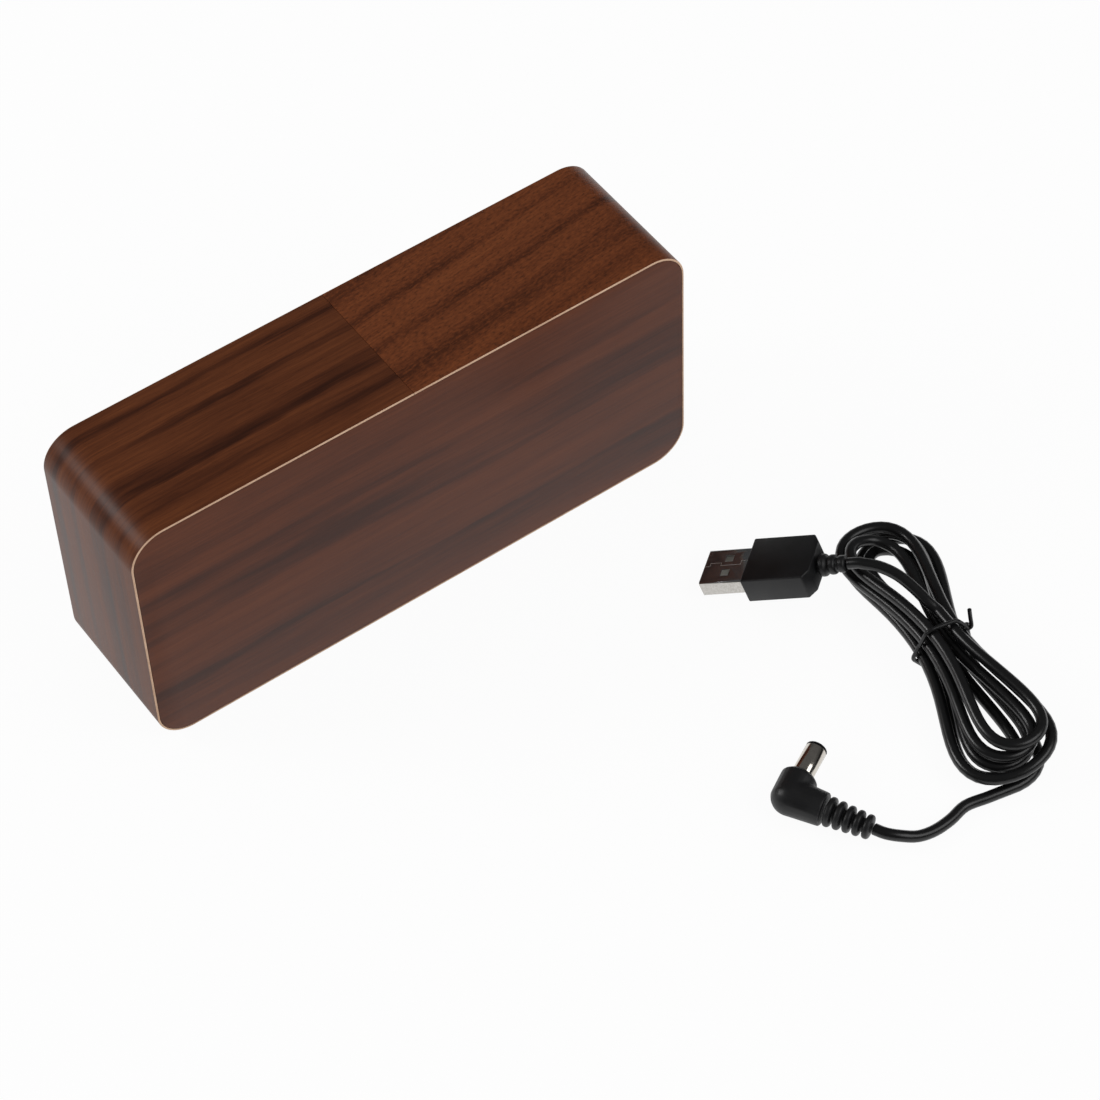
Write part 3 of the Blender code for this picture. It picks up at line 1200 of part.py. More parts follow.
def make_tie():
    """A wire tie: once round the waist, with its two ends side by side at the right."""
    waist = [hank_point(turn / 2) for turn in range(round(HANK_LAST_TURN * 2) + 1)]
    lean = HANK_AXIS - HANK_FAN * len(REVERSAL_TURNS) / 2
    across, ahead = Vector((cos(lean), -sin(lean), 0)), Vector((sin(lean), cos(lean), 0))
    up = Vector((0, 0, 1))
    middle = Vector((*HANK_WAIST, 0))
    reach = CORD_DIAMETER / 2 + TIE_DIAMETER / 2 + TIE_CLEARANCE
    sides = [(point - middle).dot(across) for point in waist]
    left, right = min(sides) - reach, max(sides) + reach
    base, top = (TIE_DIAMETER + SEAT_GAP) / 2, max(point.z for point in waist) + reach
    centre = middle + across * (left + right) / 2 + up * (top + base) / 2
    outline = rounded_outline(right - left, top - base, TIE_CORNER, 4)
    start = centre + across * (right - left) / 2
    loop = [start] + [centre + across * x + up * y for x, y in outline] + [start]
    count = len(loop) - 1
    loop = [place + ahead * TIE_PITCH * (number / count - 1 / 2) for number, place in enumerate(loop)]

    def tail(root, shares):
        way = (across * shares[0] + ahead * shares[1] + up * shares[2]) * TIE_TAIL
        return [root + way * step / TIE_TAIL_STEPS for step in range(1, TIE_TAIL_STEPS + 1)]

    points = tail(loop[0], TIE_TAIL_OUT_SHARES)[::-1] + loop + tail(loop[-1], TIE_TAIL_IN_SHARES)
    shade(add_part("twist_tie", tube_mesh("twist_tie", points, TIE_DIAMETER, 1), BLACK_RUBBER))


def main():
    make_case()
    make_display()
    make_back_cover()
    make_battery_door()
    make_contacts()
    make_screws()
    make_main_board()
    make_buttons()
    make_socket()
    make_board_parts()
    usb_exit, usb_way = make_usb_plug()
    dc_exit, dc_way = make_dc_plug()
    make_cord(usb_exit, usb_way, dc_exit, dc_way)
    make_tie()


main()
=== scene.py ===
"""Looks of the wooden digital alarm clock and its power cable.

Metres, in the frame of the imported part: +Z up, the clock's front towards -Y.
"""
from math import atan2, cos, pi, radians, sin

import bmesh
import bpy
from mathutils import Matrix, Vector


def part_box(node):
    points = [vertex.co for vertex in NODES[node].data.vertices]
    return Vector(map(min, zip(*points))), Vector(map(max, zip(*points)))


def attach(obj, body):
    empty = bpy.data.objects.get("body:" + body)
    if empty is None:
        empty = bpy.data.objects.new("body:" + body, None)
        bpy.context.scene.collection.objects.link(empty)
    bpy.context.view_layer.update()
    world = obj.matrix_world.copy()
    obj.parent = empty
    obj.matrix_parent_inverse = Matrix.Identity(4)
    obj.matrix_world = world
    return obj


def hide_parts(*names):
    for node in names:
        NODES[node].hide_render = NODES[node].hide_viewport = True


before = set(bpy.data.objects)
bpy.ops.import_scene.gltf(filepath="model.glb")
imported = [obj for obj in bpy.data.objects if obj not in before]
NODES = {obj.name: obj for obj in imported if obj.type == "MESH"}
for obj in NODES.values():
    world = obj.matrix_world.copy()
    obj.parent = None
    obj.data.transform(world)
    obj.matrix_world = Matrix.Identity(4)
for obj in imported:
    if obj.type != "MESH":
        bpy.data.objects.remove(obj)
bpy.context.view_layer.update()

CASE_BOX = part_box("wrap_veneer")
WELD = 1e-6
MM = 1000.0
FLAT_ANGLE = radians(1)
BEVEL_ANGLE = radians(40)
SMOOTH_ANGLE = radians(50)

# Camera, solved from the case's outline in the photograph
CAMERA_PLACE = (-0.30557, -0.53842, 0.75114)
CAMERA_RIGHT = (0.81455, -0.57940, -0.02821)
CAMERA_UP = (0.46394, 0.62150, 0.63126)
CAMERA_AHEAD = (0.34822, 0.52729, -0.77506)
CAMERA_LENS = 124.27
CAMERA_SENSOR = 36

# Joint along the USB shell's top in millimetres from its tip: where it steps, and by how much
SEAM_START = -0.09
SEAM_STEPS = ((1.48, 1.09), (4.45, -0.92), (9.88, 1.27))
SEAM_HALF = 0.06
SHELL_TOP = 2.1

# Cord: the same places as in the construction
CORD_DIAMETER = 0.0030
SEAT_GAP = 0.0003
USB_TIP = (0.0583, -0.0592, 0.0027)
USB_HEADING = radians(-50.5)
USB_PITCH = radians(21.9)
USB_ROLL = radians(-3.9)
USB_SHELL_LENGTH = 0.0120
USB_GRIP_LENGTH = 0.0182
USB_RELIEF_LENGTH = 0.0075
DC_ELBOW = (0.0316, -0.1276, 0.0050)
DC_CORD_HEADING = radians(-62)
DC_BODY_LENGTH = 0.0090
DC_RELIEF_LENGTH = 0.0124
HANK_WAIST = (0.0891, -0.1152)
HANK_FIRST_TURN = -0.25
HANK_LAST_TURN = 5.0
HANK_HALF_LENGTH = 0.0411
HANK_BULGE = 0.0103
HANK_STEP = 0.0041
HANK_WAIST_HALF = 0.0055
HANK_WAIST_STEP = 0.00385
HANK_LAYER_RISE = 0.00355
HANK_LAYER_SHIFT = 0.00065
HANK_AXIS = radians(17)
HANK_FAN = radians(4.0)
HANK_TIE_LIFT = 0.0015
HANK_LIFT_FULL = 0.0120
HANK_LIFT_NONE = 0.0340
REVERSAL_TURNS = (1.25, 2.75, 4.25)
CLIMB_SHARE = 0.08
FAN_SHARE = 0.18
FOLD_SHARES = (0.577, 0.385)
HANK_LOOP_POINTS = 72
LEAD_STEP = 0.0012
USB_LEAD_ROUTE = (
    (0.0831, -0.0894, 0.0182),
    (0.0857, -0.0930, 0.0186),
    (0.0880, -0.0974, 0.0180),
    (0.0895, -0.1023, 0.0165),
    (0.0903, -0.1072, 0.0150),
)
DC_LEAD_ROUTE = (
    (0.0461, -0.1520, 0.0043),
    (0.0500, -0.1538, 0.0029),
    (0.0547, -0.1544, 0.0020),
    (0.0598, -0.1541, 0.0018),
    (0.0652, -0.1531, 0.0018),
)

USB_GRIP_WIDTH = 0.0153
USB_GRIP_THICKNESS = 0.0074
GRIP_CHAMFER = (0.0016, 0.0026)
GRIP_EDGE = 0.0004
SHELL_EDGE = 0.00010
USB_RELIEF_RADII = (0.0029, 0.0022)
USB_RELIEF_GROOVE = 0.0007
DC_RELIEF_RADII = (0.0038, 0.0031)
DC_RELIEF_GROOVE = 0.0015
RIB_SHARE = 0.40
RIB_STEPS = 8
ELBOW_VOXEL = 0.00025
ELBOW_ROUNDS = 14
BARREL_EDGE = 0.00012
SCREW_EDGE = 0.00015
CROSS_LENGTH = 0.0026
CROSS_WIDTH = 0.0005
CROSS_DEPTH = 0.0007
CROSS_TURNS = (12, 57, 33, 78)
TIE_DIAMETER = 0.0011
TIE_CLEARANCE = 0.00025
TIE_PITCH = 0.0014
TIE_START_LEAN = 0.4
TIE_TAIL_STEP = 0.0004
TIE_TAIL_UP = ((0.0005, -0.0002, 0.0010), (0.0006, 0.0008, 0.0032), (0.0004, 0.0012, 0.0058))
TIE_TAIL_DOWN = ((0.0006, 0.0002, -0.0008), (0.0004, 0.0, -0.0028))

# Case
CORNER_RADIUS = 0.0096
CORNER_STEPS = 20
FILM_JOINT = 0.0001
FILM_THICKNESS = 0.0005
FILM_EDGE = 0.00022
FRONT_EDGE = 0.00016


def make_camera():
    data = bpy.data.cameras.new("camera")
    data.lens = CAMERA_LENS
    data.sensor_width = CAMERA_SENSOR
    data.clip_start = 0.01
    camera = bpy.data.objects.new("camera", data)
    axes = Matrix((CAMERA_RIGHT, CAMERA_UP, [-value for value in CAMERA_AHEAD])).transposed()
    camera.matrix_world = Matrix.Translation(CAMERA_PLACE) @ axes.to_4x4()
    bpy.context.scene.collection.objects.link(camera)
    bpy.context.scene.camera = camera


def new_object(name, data):
    """A piece that rides the clock's body."""
    obj = bpy.data.objects.new(name, data)
    bpy.context.scene.collection.objects.link(obj)
    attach(obj, "clock")
    return obj


def dress(obj, *materials):
    """Gives an object these materials; a new mesh keeps the faces' own material numbers."""
    if obj.data.materials:
        obj.data.materials.clear()
    for made in materials:
        obj.data.materials.append(made)
    return obj


# Node trees
class Tree:
    """A material's nodes, with its Principled shader."""

    def __init__(self, name):
        self.material = bpy.data.materials.new(name)
        self.material.use_nodes = True
        self.nodes = self.material.node_tree.nodes
        self.links = self.material.node_tree.links
        self.shader = self.nodes["Principled BSDF"]

    def node(self, kind, inputs=None, **settings):
        made = self.nodes.new(kind)
        for name, value in settings.items():
            setattr(made, name, value)
        for key, value in (inputs or {}).items():
            self.feed(made.inputs[key], value)
        return made

    def feed(self, socket, value):
        if isinstance(value, bpy.types.NodeSocket):
            self.links.new(value, socket)
        else:
            socket.default_value = value

    def math(self, operation, first, second=0.0):
        return self.node("ShaderNodeMath", {0: first, 1: second}, operation=operation).outputs[0]

    def place(self):
        """X, Y and Z in the part's frame."""
        coordinates = self.node("ShaderNodeTexCoord").outputs["Object"]
        split = self.node("ShaderNodeSeparateXYZ", {0: coordinates})
        return split.outputs[0], split.outputs[1], split.outputs[2]

    def join(self, x, y, z):
        return self.node("ShaderNodeCombineXYZ", {0: x, 1: y, 2: z}).outputs[0]

    def noise(self, vector, scale=1.0, detail=3.0, roughness=0.55):
        inputs = {"Vector": vector, "Scale": scale, "Detail": detail, "Roughness": roughness}
        return self.node("ShaderNodeTexNoise", inputs).outputs[0]

    def stretch(self, value, low, high, start=0.0, end=1.0):
        """The value's share between low and high, as a value between start and end."""
        return self.node("ShaderNodeMapRange", {0: value, 1: low, 2: high, 3: start, 4: end}).outputs[0]

    def ramp(self, value, stops):
        made = self.node("ShaderNodeValToRGB", {0: value})
        elements = made.color_ramp.elements
        while len(elements) < len(stops):
            elements.new(0.5)
        for element, (position, colour) in zip(elements, stops):
            element.position = position
            element.color = (*linear(colour), 1)
        return made.outputs[0]

    def blend(self, share, first, second):
        made = self.node("ShaderNodeMix", {0: share}, data_type="RGBA")
        for socket, value in ((made.inputs[6], first), (made.inputs[7], second)):
            self.feed(socket, value if isinstance(value, bpy.types.NodeSocket) else (*linear(value), 1))
        return made.outputs[2]

    def colour(self, value):
        self.feed(self.shader.inputs["Base Color"], value)

    def rough(self, value):
        self.feed(self.shader.inputs["Roughness"], value)

    def bump(self, height, depth, strength=1.0):
        made = self.node("ShaderNodeBump", {"Strength": strength, "Distance": depth, "Height": height})
        self.links.new(made.outputs[0], self.shader.inputs["Normal"])

    def set(self, **values):
        for name, value in values.items():
            self.shader.inputs[name.replace("_", " ")].default_value = value


def linear(colour):
    """A colour of 0 to 255 in sRGB as linear light."""
    shares = [value / 255 for value in colour[:3]]
    return [share / 12.92 if share <= 0.04045 else ((share + 0.055) / 1.055) ** 2.4 for share in shares]


# Dark bands of the film's printed wood: millimetres across the grain, and how dark there
FRONT_BANDS = (
    (0, 0.30), (9, 0.34), (12.5, 0.52), (15, 0.66), (17, 0.30), (21, 0.26), (25, 0.80),
    (28, 0.62), (33, 0.86), (37.5, 0.72), (40, 0.24), (46, 0.40), (50, 0.34), (57, 0.46),
    (58.5, 0.96), (62, 0.66), (68, 0.70), (71, 0.30), (75.3, 0.20),
)
LEFT_BANDS = (
    (0, 0.44), (2.5, 0.24), (4.8, 0.86), (6.5, 0.30), (11, 0.20), (13.2, 0.86), (15, 0.26),
    (20, 0.22), (23, 0.60), (26.5, 0.94), (28.5, 0.26), (31, 0.56), (33, 0.78), (35, 0.30),
    (38, 0.16), (40.3, 0.30),
)
RIGHT_BANDS = (
    (0, 0.30), (4, 0.70), (7, 0.24), (11, 0.20), (13, 0.66), (15, 0.18), (20, 0.22),
    (23.5, 0.84), (25.5, 0.22), (29, 0.24), (33, 0.74), (37, 0.66), (39.5, 0.22), (44, 0.60),
    (48, 0.24), (52, 0.70), (56, 0.20), (60, 0.40),
)
FRONT_WOOD = ((46, 23, 15), (64, 32, 20), (81, 42, 26), (96, 51, 31), (110, 61, 38))
LEFT_WOOD = ((40, 18, 10), (57, 27, 14), (76, 38, 19), (92, 48, 24), (108, 59, 29))
WOOD_STOPS = (0.16, 0.36, 0.56, 0.74, 0.92)
RIGHT_WOOD = ((46, 22, 12), (66, 32, 16), (88, 44, 22), (104, 54, 27), (120, 66, 34))
FRONT_SLOPE = -0.010
RIGHT_INCLINE = 0.115
FLECK_SIZE = (1.5, 0.62)
PALE_FLECK = (132, 70, 34)
DARK_FLECK = (50, 25, 13)

# Streaks along the grain: millimetres along and across it, the noise's slice and detail, and its share
BROAD_STREAKS = (60, 3.2, 6, 4.0, 0.30)
FINE_STREAKS = ((30, 0.85, 8, 4.0, 0.44), (11, 0.34, 10, 4.0, 0.46))


def band_ramp(tree, across, bands):
    """How dark the wood is at a place across the grain."""
    span = bands[-1][0]
    made = tree.node("ShaderNodeValToRGB", {0: tree.math("DIVIDE", across, span)})
    made.color_ramp.interpolation = "EASE"
    elements = made.color_ramp.elements
    while len(elements) < len(bands):
        elements.new(0.5)
    for element, (place, dark) in zip(elements, bands):
        element.position = place / span
        element.color = (dark, dark, dark, 1)
    return tree.node("ShaderNodeSeparateColor", {0: made.outputs[0]}).outputs[0]


def wood(tree, lengthwise, crosswise, bands, colours, seed, sway, feather=1.0):
    """Banded wood from millimetres along and across its grain, and the height of its fine relief."""
    def streaks(length, width, offset, detail=3.0, roughness=0.55):
        x, y = tree.math("DIVIDE", lengthwise, length), tree.math("DIVIDE", crosswise, width)
        return tree.noise(tree.join(x, y, seed + offset), detail=detail, roughness=roughness)

    def about(value, share):
        return tree.math("MULTIPLY", tree.math("SUBTRACT", value, 0.5), share)

    wide, near = about(streaks(70, 26, 1, 2.0), sway * 3), about(streaks(22, 5, 2, 3.0), sway * 0.8)
    frayed = tree.math("ADD", tree.math("ADD", wide, near), about(streaks(8, 0.7, 3, 3.0), 2.6 * feather))
    dark = band_ramp(tree, tree.math("ADD", crosswise, frayed), bands)
    fade = tree.stretch(streaks(46, 6, 4, 2.0), 0.34, 0.62, 0.45, 1.10)
    dark = tree.math("MULTIPLY", dark, fade)
    body = tree.math("SUBTRACT", 0.80, tree.math("MULTIPLY", dark, 0.50))
    rows = [BROAD_STREAKS] + [(*row[:4], row[4] * feather) for row in FINE_STREAKS]
    for length, width, offset, detail, share in rows:
        body = tree.math("ADD", body, about(streaks(length, width, offset, detail, 0.6), share))
    shown = tree.ramp(body, tuple(zip(WOOD_STOPS, colours)))
    pores = tree.stretch(streaks(3.2, 0.16, 12, 2.0, 0.5), 0.60, 0.72, 0.0, 0.42)
    shown = tree.blend(pores, shown, colours[0])
    return shown, tree.math("SUBTRACT", tree.math("MULTIPLY", body, 0.4), pores)


def walnut(name, front=False):
    """The printed film: the front's own sheet, or the wrap's two halves on each side of its joint."""
    tree = Tree(name)
    x, y, z = [tree.math("MULTIPLY", value, MM) for value in tree.place()]
    high = CASE_BOX[1] * MM
    drop = tree.math("SUBTRACT", high.z, z)
    if front:
        sloped = tree.math("ADD", drop, tree.math("MULTIPLY", x, FRONT_SLOPE))
        shown, relief = wood(tree, x, sloped, FRONT_BANDS, FRONT_WOOD, 40.0, 2.4, 0.75)
    else:
        across = tree.math("SUBTRACT", high.y, y)
        left_way = tree.math("SUBTRACT", x, drop)
        right_way = tree.math("ADD", x, drop)
        left, left_relief = wood(tree, left_way, across, LEFT_BANDS, LEFT_WOOD, 5.0, 1.6)
        inclined = tree.math("ADD", across, tree.math("MULTIPLY", right_way, RIGHT_INCLINE))
        right, right_relief = wood(tree, right_way, inclined, RIGHT_BANDS, RIGHT_WOOD, 90.0, 2.2, 0.8)
        sizes = zip((right_way, inclined), FLECK_SIZE)
        place = tree.join(*(tree.math("DIVIDE", way, size) for way, size in sizes), 71.0)
        flecks = tree.noise(place, detail=3.0, roughness=0.62)
        right = tree.blend(tree.stretch(flecks, 0.50, 0.66, 0.0, 0.34), right, PALE_FLECK)
        right = tree.blend(tree.stretch(flecks, 0.46, 0.34, 0.0, 0.52), right, DARK_FLECK)
        side = tree.math("GREATER_THAN", x, 0.0)
        shown = tree.blend(side, left, right)
        relief = tree.node("ShaderNodeMix", {0: side, 2: left_relief, 3: right_relief}).outputs[0]
    tree.colour(shown)
    tree.rough(tree.stretch(relief, 0.0, 0.5, 0.34, 0.44))
    tree.bump(relief, 0.00003, 0.5)
    tree.set(Specular_IOR_Level=0.165)
    return tree.material


def plain_noise(
    name,
    first,
    second,
    roughness=(0.4, 0.5),
    grain_size=0.6,
    depth=0.00002,
    strength=0.5,
    **settings,
):
    """A surface whose colour, gloss and relief vary with a fine noise, its grain in millimetres."""
    tree = Tree(name)
    place = tree.node("ShaderNodeTexCoord").outputs["Object"]
    fine = tree.noise(place, scale=MM / grain_size, detail=3.0)
    wide = tree.noise(place, scale=MM / (grain_size * 18), detail=2.0)
    both = tree.math("ADD", tree.math("MULTIPLY", fine, 0.5), tree.math("MULTIPLY", wide, 0.5))
    tree.colour(tree.blend(tree.stretch(both, 0.35, 0.65), first, second))
    tree.rough(tree.stretch(wide, 0.3, 0.7, *roughness))
    tree.bump(fine, depth, strength)
    tree.set(**settings)
    return tree.material


# Look: its material's name, its two colours and its settings
PLAIN_LOOKS = {
    "film_edge": ("film_edge", (226, 190, 160), (198, 158, 128), dict(roughness=(0.5, 0.6), grain_size=0.4)),
    "fibreboard": (
        "fibreboard", (172, 140, 104), (138, 106, 74),
        dict(roughness=(0.8, 0.9), grain_size=0.5, depth=0.00008),
    ),
    "cord": (
        "cord_sheath", (12, 12, 13), (19, 19, 20),
        dict(roughness=(0.26, 0.34), grain_size=2.0, depth=0.000004, Specular_IOR_Level=0.45),
    ),
    "moulding": (
        "plug_moulding", (13, 13, 14), (19, 19, 21),
        dict(roughness=(0.38, 0.52), grain_size=0.35, depth=0.00003, Specular_IOR_Level=0.45),
    ),
    "cover": (
        "cover_moulding", (26, 26, 28), (34, 34, 36),
        dict(roughness=(0.5, 0.62), grain_size=0.45, depth=0.00006, strength=0.8),
    ),
    "nickel": (
        "nickel_plate", (205, 200, 192), (188, 184, 178),
        dict(roughness=(0.14, 0.24), grain_size=0.8, depth=0.000004, Metallic=1.0),
    ),
    "barrel": (
        "barrel_plate", (214, 208, 198), (196, 190, 182),
        dict(roughness=(0.10, 0.16), grain_size=0.8, depth=0.000004, Metallic=1.0),
    ),
    "grip": (
        "grip_moulding", (15, 15, 16), (22, 22, 24),
        dict(roughness=(0.36, 0.48), grain_size=0.3, depth=0.00003, Specular_IOR_Level=0.4),
    ),
    "steel": (
        "zinc_steel", (168, 168, 166), (140, 140, 140),
        dict(roughness=(0.26, 0.4), grain_size=0.5, depth=0.00001, Metallic=1.0),
    ),
    "white": (
        "white_moulding", (232, 231, 226), (220, 219, 214),
        dict(roughness=(0.4, 0.5), grain_size=0.6),
    ),
    "board": ("circuit_board", (22, 92, 50), (16, 74, 40), dict(roughness=(0.3, 0.45), grain_size=1.2)),
    "smoke": ("smoked_film", (30, 27, 26), (24, 22, 21), dict(roughness=(0.2, 0.3), grain_size=0.8)),
    "can": (
        "aluminium_can", (190, 190, 190), (170, 170, 170),
        dict(roughness=(0.3, 0.42), grain_size=0.7, depth=0.00001, Metallic=1.0),
    ),
}


def make_materials():
    looks = {"walnut": walnut("walnut_wrap"), "walnut_front": walnut("walnut_front", front=True)}
    looks["shell"] = shell_metal()
    for look, (name, first, second, settings) in PLAIN_LOOKS.items():
        looks[look] = plain_noise(name, first, second, **settings)
    return looks


def shell_metal():
    """Polished plate with a thin stepped joint along the top, and its top face painted a darker grey as a
    painted dim reflection, in the plug's own frame.
    """
    tree = Tree("shell_plate")
    x, y, z = [tree.math("MULTIPLY", value, MM) for value in tree.place()]

    def joint(at):
        level = SEAM_START
        for place, rise in SEAM_STEPS:
            level = tree.math("ADD", tree.math("MULTIPLY", tree.math("GREATER_THAN", at, place), rise), level)
        return level

    first, second = joint(tree.math("SUBTRACT", x, SEAM_HALF)), joint(tree.math("ADD", x, SEAM_HALF))
    lower, upper = tree.math("MINIMUM", first, second), tree.math("MAXIMUM", first, second)
    under = tree.math("GREATER_THAN", y, tree.math("SUBTRACT", lower, SEAM_HALF))
    over = tree.math("LESS_THAN", y, tree.math("ADD", upper, SEAM_HALF))
    on_top = tree.math("GREATER_THAN", z, SHELL_TOP)
    seam = tree.math("MULTIPLY", tree.math("MULTIPLY", under, over), on_top)
    fine = tree.noise(tree.join(x, y, z), scale=2.2, detail=4.0)
    plate = tree.blend(tree.stretch(fine, 0.35, 0.65), (206, 203, 198), (186, 183, 178))
    # Painted reflection: the top face is painted a darker grey for the dim room it reflects.
    plate = tree.blend(on_top, plate, (158, 160, 162))
    tree.colour(tree.blend(seam, plate, (236, 232, 226)))
    tree.rough(tree.math("ADD", tree.stretch(fine, 0.3, 0.7, 0.10, 0.20), tree.math("MULTIPLY", seam, 0.35)))
    tree.bump(tree.math("MULTIPLY", seam, -1.0), 0.00004, 0.6)
    tree.set(Metallic=0.93)
    return tree.material


NODE_LOOKS = {
    "walnut": ("wrap_veneer",),
    "walnut_front": ("front_veneer",),
    "fibreboard": ("front_board", "case_frame"),
    "smoke": ("diffuser_film",),
    "white": ("segment_mask", "tact_plunger_1", "tact_plunger_2", "tact_plunger_3", "usb_tongue"),
    "board": ("display_board", "main_board"),
    "steel": (
        "back_screw_1", "back_screw_2", "back_screw_3", "back_screw_4", "board_screw_1", "board_screw_2",
        "coin_cell", "crystal_can",
    ),
    "can": ("capacitor", "microphone"),
    "nickel": (
        "contact_spring_1", "contact_spring_2", "contact_spring_3", "contact_spring_4",
        "contact_plate_1", "contact_plate_2", "contact_plate_3", "contact_plate_4",
        "dc_socket_pin", "usb_shell", "dc_barrel",
    ),
    "moulding": ("usb_grip", "usb_relief", "dc_grip", "dc_relief", "twist_tie", "dc_tip_ring"),
    "cord": ("cord_hank", "cord_lead_usb", "cord_lead_dc"),
}


def dress_nodes(looks):
    given = {node: look for look, nodes in NODE_LOOKS.items() for node in nodes}
    for name, obj in NODES.items():
        dress(obj, looks[given.get(name, "cover")])


# Cord
def smooth_step(share):
    share = min(max(share, 0), 1)
    return share * share * (3 - 2 * share)


def hank_inset(turn):
    if turn < REVERSAL_TURNS[0]:
        return turn
    if turn < REVERSAL_TURNS[1]:
        return 2 * REVERSAL_TURNS[0] - turn
    if turn < REVERSAL_TURNS[2]:
        return turn - 3
    return 2 * REVERSAL_TURNS[2] - 3 - turn


def hank_point(turn):
    inset = hank_inset(turn)
    layer = sum(smooth_step((turn - back + CLIMB_SHARE) / (2 * CLIMB_SHARE)) for back in REVERSAL_TURNS)
    fanned = sum(smooth_step((turn - back + FAN_SHARE) / (2 * FAN_SHARE)) for back in REVERSAL_TURNS)
    angle = 2 * pi * turn
    waist = HANK_WAIST_HALF - HANK_WAIST_STEP * inset
    bulge = (HANK_BULGE - HANK_STEP * inset - FOLD_SHARES[0] * waist) / FOLD_SHARES[1]
    across = cos(angle) * (waist + bulge * sin(angle) ** 2) - HANK_LAYER_SHIFT * fanned
    up = (HANK_HALF_LENGTH - HANK_STEP * inset) * sin(angle)
    lean = HANK_AXIS - HANK_FAN * fanned
    lift = HANK_TIE_LIFT * smooth_step((HANK_LIFT_NONE - abs(up)) / (HANK_LIFT_NONE - HANK_LIFT_FULL))
    return Vector((
        HANK_WAIST[0] + across * cos(lean) + up * sin(lean),
        HANK_WAIST[1] - across * sin(lean) + up * cos(lean),
        CORD_DIAMETER / 2 + SEAT_GAP + HANK_LAYER_RISE * layer + lift,
    ))


def hank_route():
    steps = round((HANK_LAST_TURN - HANK_FIRST_TURN) * HANK_LOOP_POINTS)
    return [hank_point(HANK_FIRST_TURN + step / HANK_LOOP_POINTS) for step in range(steps + 1)]


def through(points, step):
    """Points a step apart on a smooth curve through the given ones."""
    padded = [2 * points[0] - points[1]] + list(points) + [2 * points[-1] - points[-2]]
    found = [points[0]]
    for before, start, end, after in zip(padded, padded[1:], padded[2:], padded[3:]):
        count = max(1, round((end - start).length / step))
        for number in range(1, count + 1):
            t = number / count
            found.append((
                2 * start
                + (end - before) * t
                + (2 * before - 5 * start + 4 * end - after) * t ** 2
                + (3 * start - before - 3 * end + after) * t ** 3
            ) / 2)
    return found


def usb_frame():
    turn = Matrix.Rotation(USB_HEADING, 4, "Z") @ Matrix.Rotation(-USB_PITCH, 4, "Y")
    return Matrix.Translation(USB_TIP) @ turn @ Matrix.Rotation(USB_ROLL, 4, "X")


def cord_route():
    """From the end of the USB plug's relief to the end of the other plug's."""
    hank = hank_route()
    first_way = (hank[0] - hank[1]).normalized()
    last_way = (hank[-1] - hank[-2]).normalized()
    plug = usb_frame()
    usb_way = plug.to_3x3() @ Vector((1, 0, 0))
    usb_length = USB_SHELL_LENGTH + USB_GRIP_LENGTH + USB_RELIEF_LENGTH + 3 * SEAT_GAP
    usb_exit = plug @ Vector((usb_length, 0, 0))
    dc_way = Vector((cos(DC_CORD_HEADING), sin(DC_CORD_HEADING), 0))
    dc_exit = Vector(DC_ELBOW) + dc_way * (DC_BODY_LENGTH + DC_RELIEF_LENGTH + 2 * SEAT_GAP)

    def lead(leaves, way_out, route, arrives, way_in):
        points = [leaves, leaves + way_out * CORD_DIAMETER]
        points += [Vector(place) for place in route]
        points += [arrives + way_in * 2 * CORD_DIAMETER, arrives + way_in * CORD_DIAMETER]
        return through(points, LEAD_STEP)

    from_usb = lead(usb_exit, usb_way, USB_LEAD_ROUTE, hank[-1], last_way)
    from_dc = lead(dc_exit, dc_way, DC_LEAD_ROUTE, hank[0], first_way)
    return from_usb + hank[::-1] + from_dc[::-1]


def tube(name, points, diameter, resolution):
    """A mesh tube along points, its caps welded to it."""
    curve = bpy.data.curves.new(name, "CURVE")
    curve.dimensions = "3D"
    curve.bevel_depth = diameter / 2
    curve.bevel_resolution = resolution
    curve.use_fill_caps = True
    spline = curve.splines.new("POLY")
    spline.points.add(len(points) - 1)
    for point, place in zip(spline.points, points):
        point.co = (*place, 1)
    guide = bpy.data.objects.new(name + "_guide", curve)
    bpy.context.scene.collection.objects.link(guide)
    mesh = bpy.data.meshes.new_from_object(guide.evaluated_get(bpy.context.evaluated_depsgraph_get()))
    bpy.data.objects.remove(guide, do_unlink=True)
    shape = bmesh.new()
    shape.from_mesh(mesh)
    bmesh.ops.remove_doubles(shape, verts=shape.verts, dist=WELD)
    bmesh.ops.recalc_face_normals(shape, faces=shape.faces)
    shape.to_mesh(mesh)
    shape.free()
    mesh.shade_smooth()
    mesh.set_sharp_from_angle(angle=SMOOTH_ANGLE)
    return mesh


def make_cord(looks):
    points = cord_route()
    cord = new_object("power_cord", tube("power_cord", points, CORD_DIAMETER, 4))
    dress(cord, looks["cord"])
    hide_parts("cord_hank", "cord_lead_usb", "cord_lead_dc")


# Plugs, tie and small pieces
def baked(name, mesh, *modifiers):
    """The mesh with modifiers applied; each is its kind and its settings."""
    guide = bpy.data.objects.new(name + "_guide", mesh)
    bpy.context.scene.collection.objects.link(guide)
    for kind, settings in modifiers:
        modifier = guide.modifiers.new(kind.lower(), kind)
        for key, value in settings.items():
            setattr(modifier, key, value)
    made = bpy.data.meshes.new_from_object(guide.evaluated_get(bpy.context.evaluated_depsgraph_get()))
    bpy.data.objects.remove(guide, do_unlink=True)
    made.name = name
    made.shade_smooth()
    made.set_sharp_from_angle(angle=SMOOTH_ANGLE)
    return made


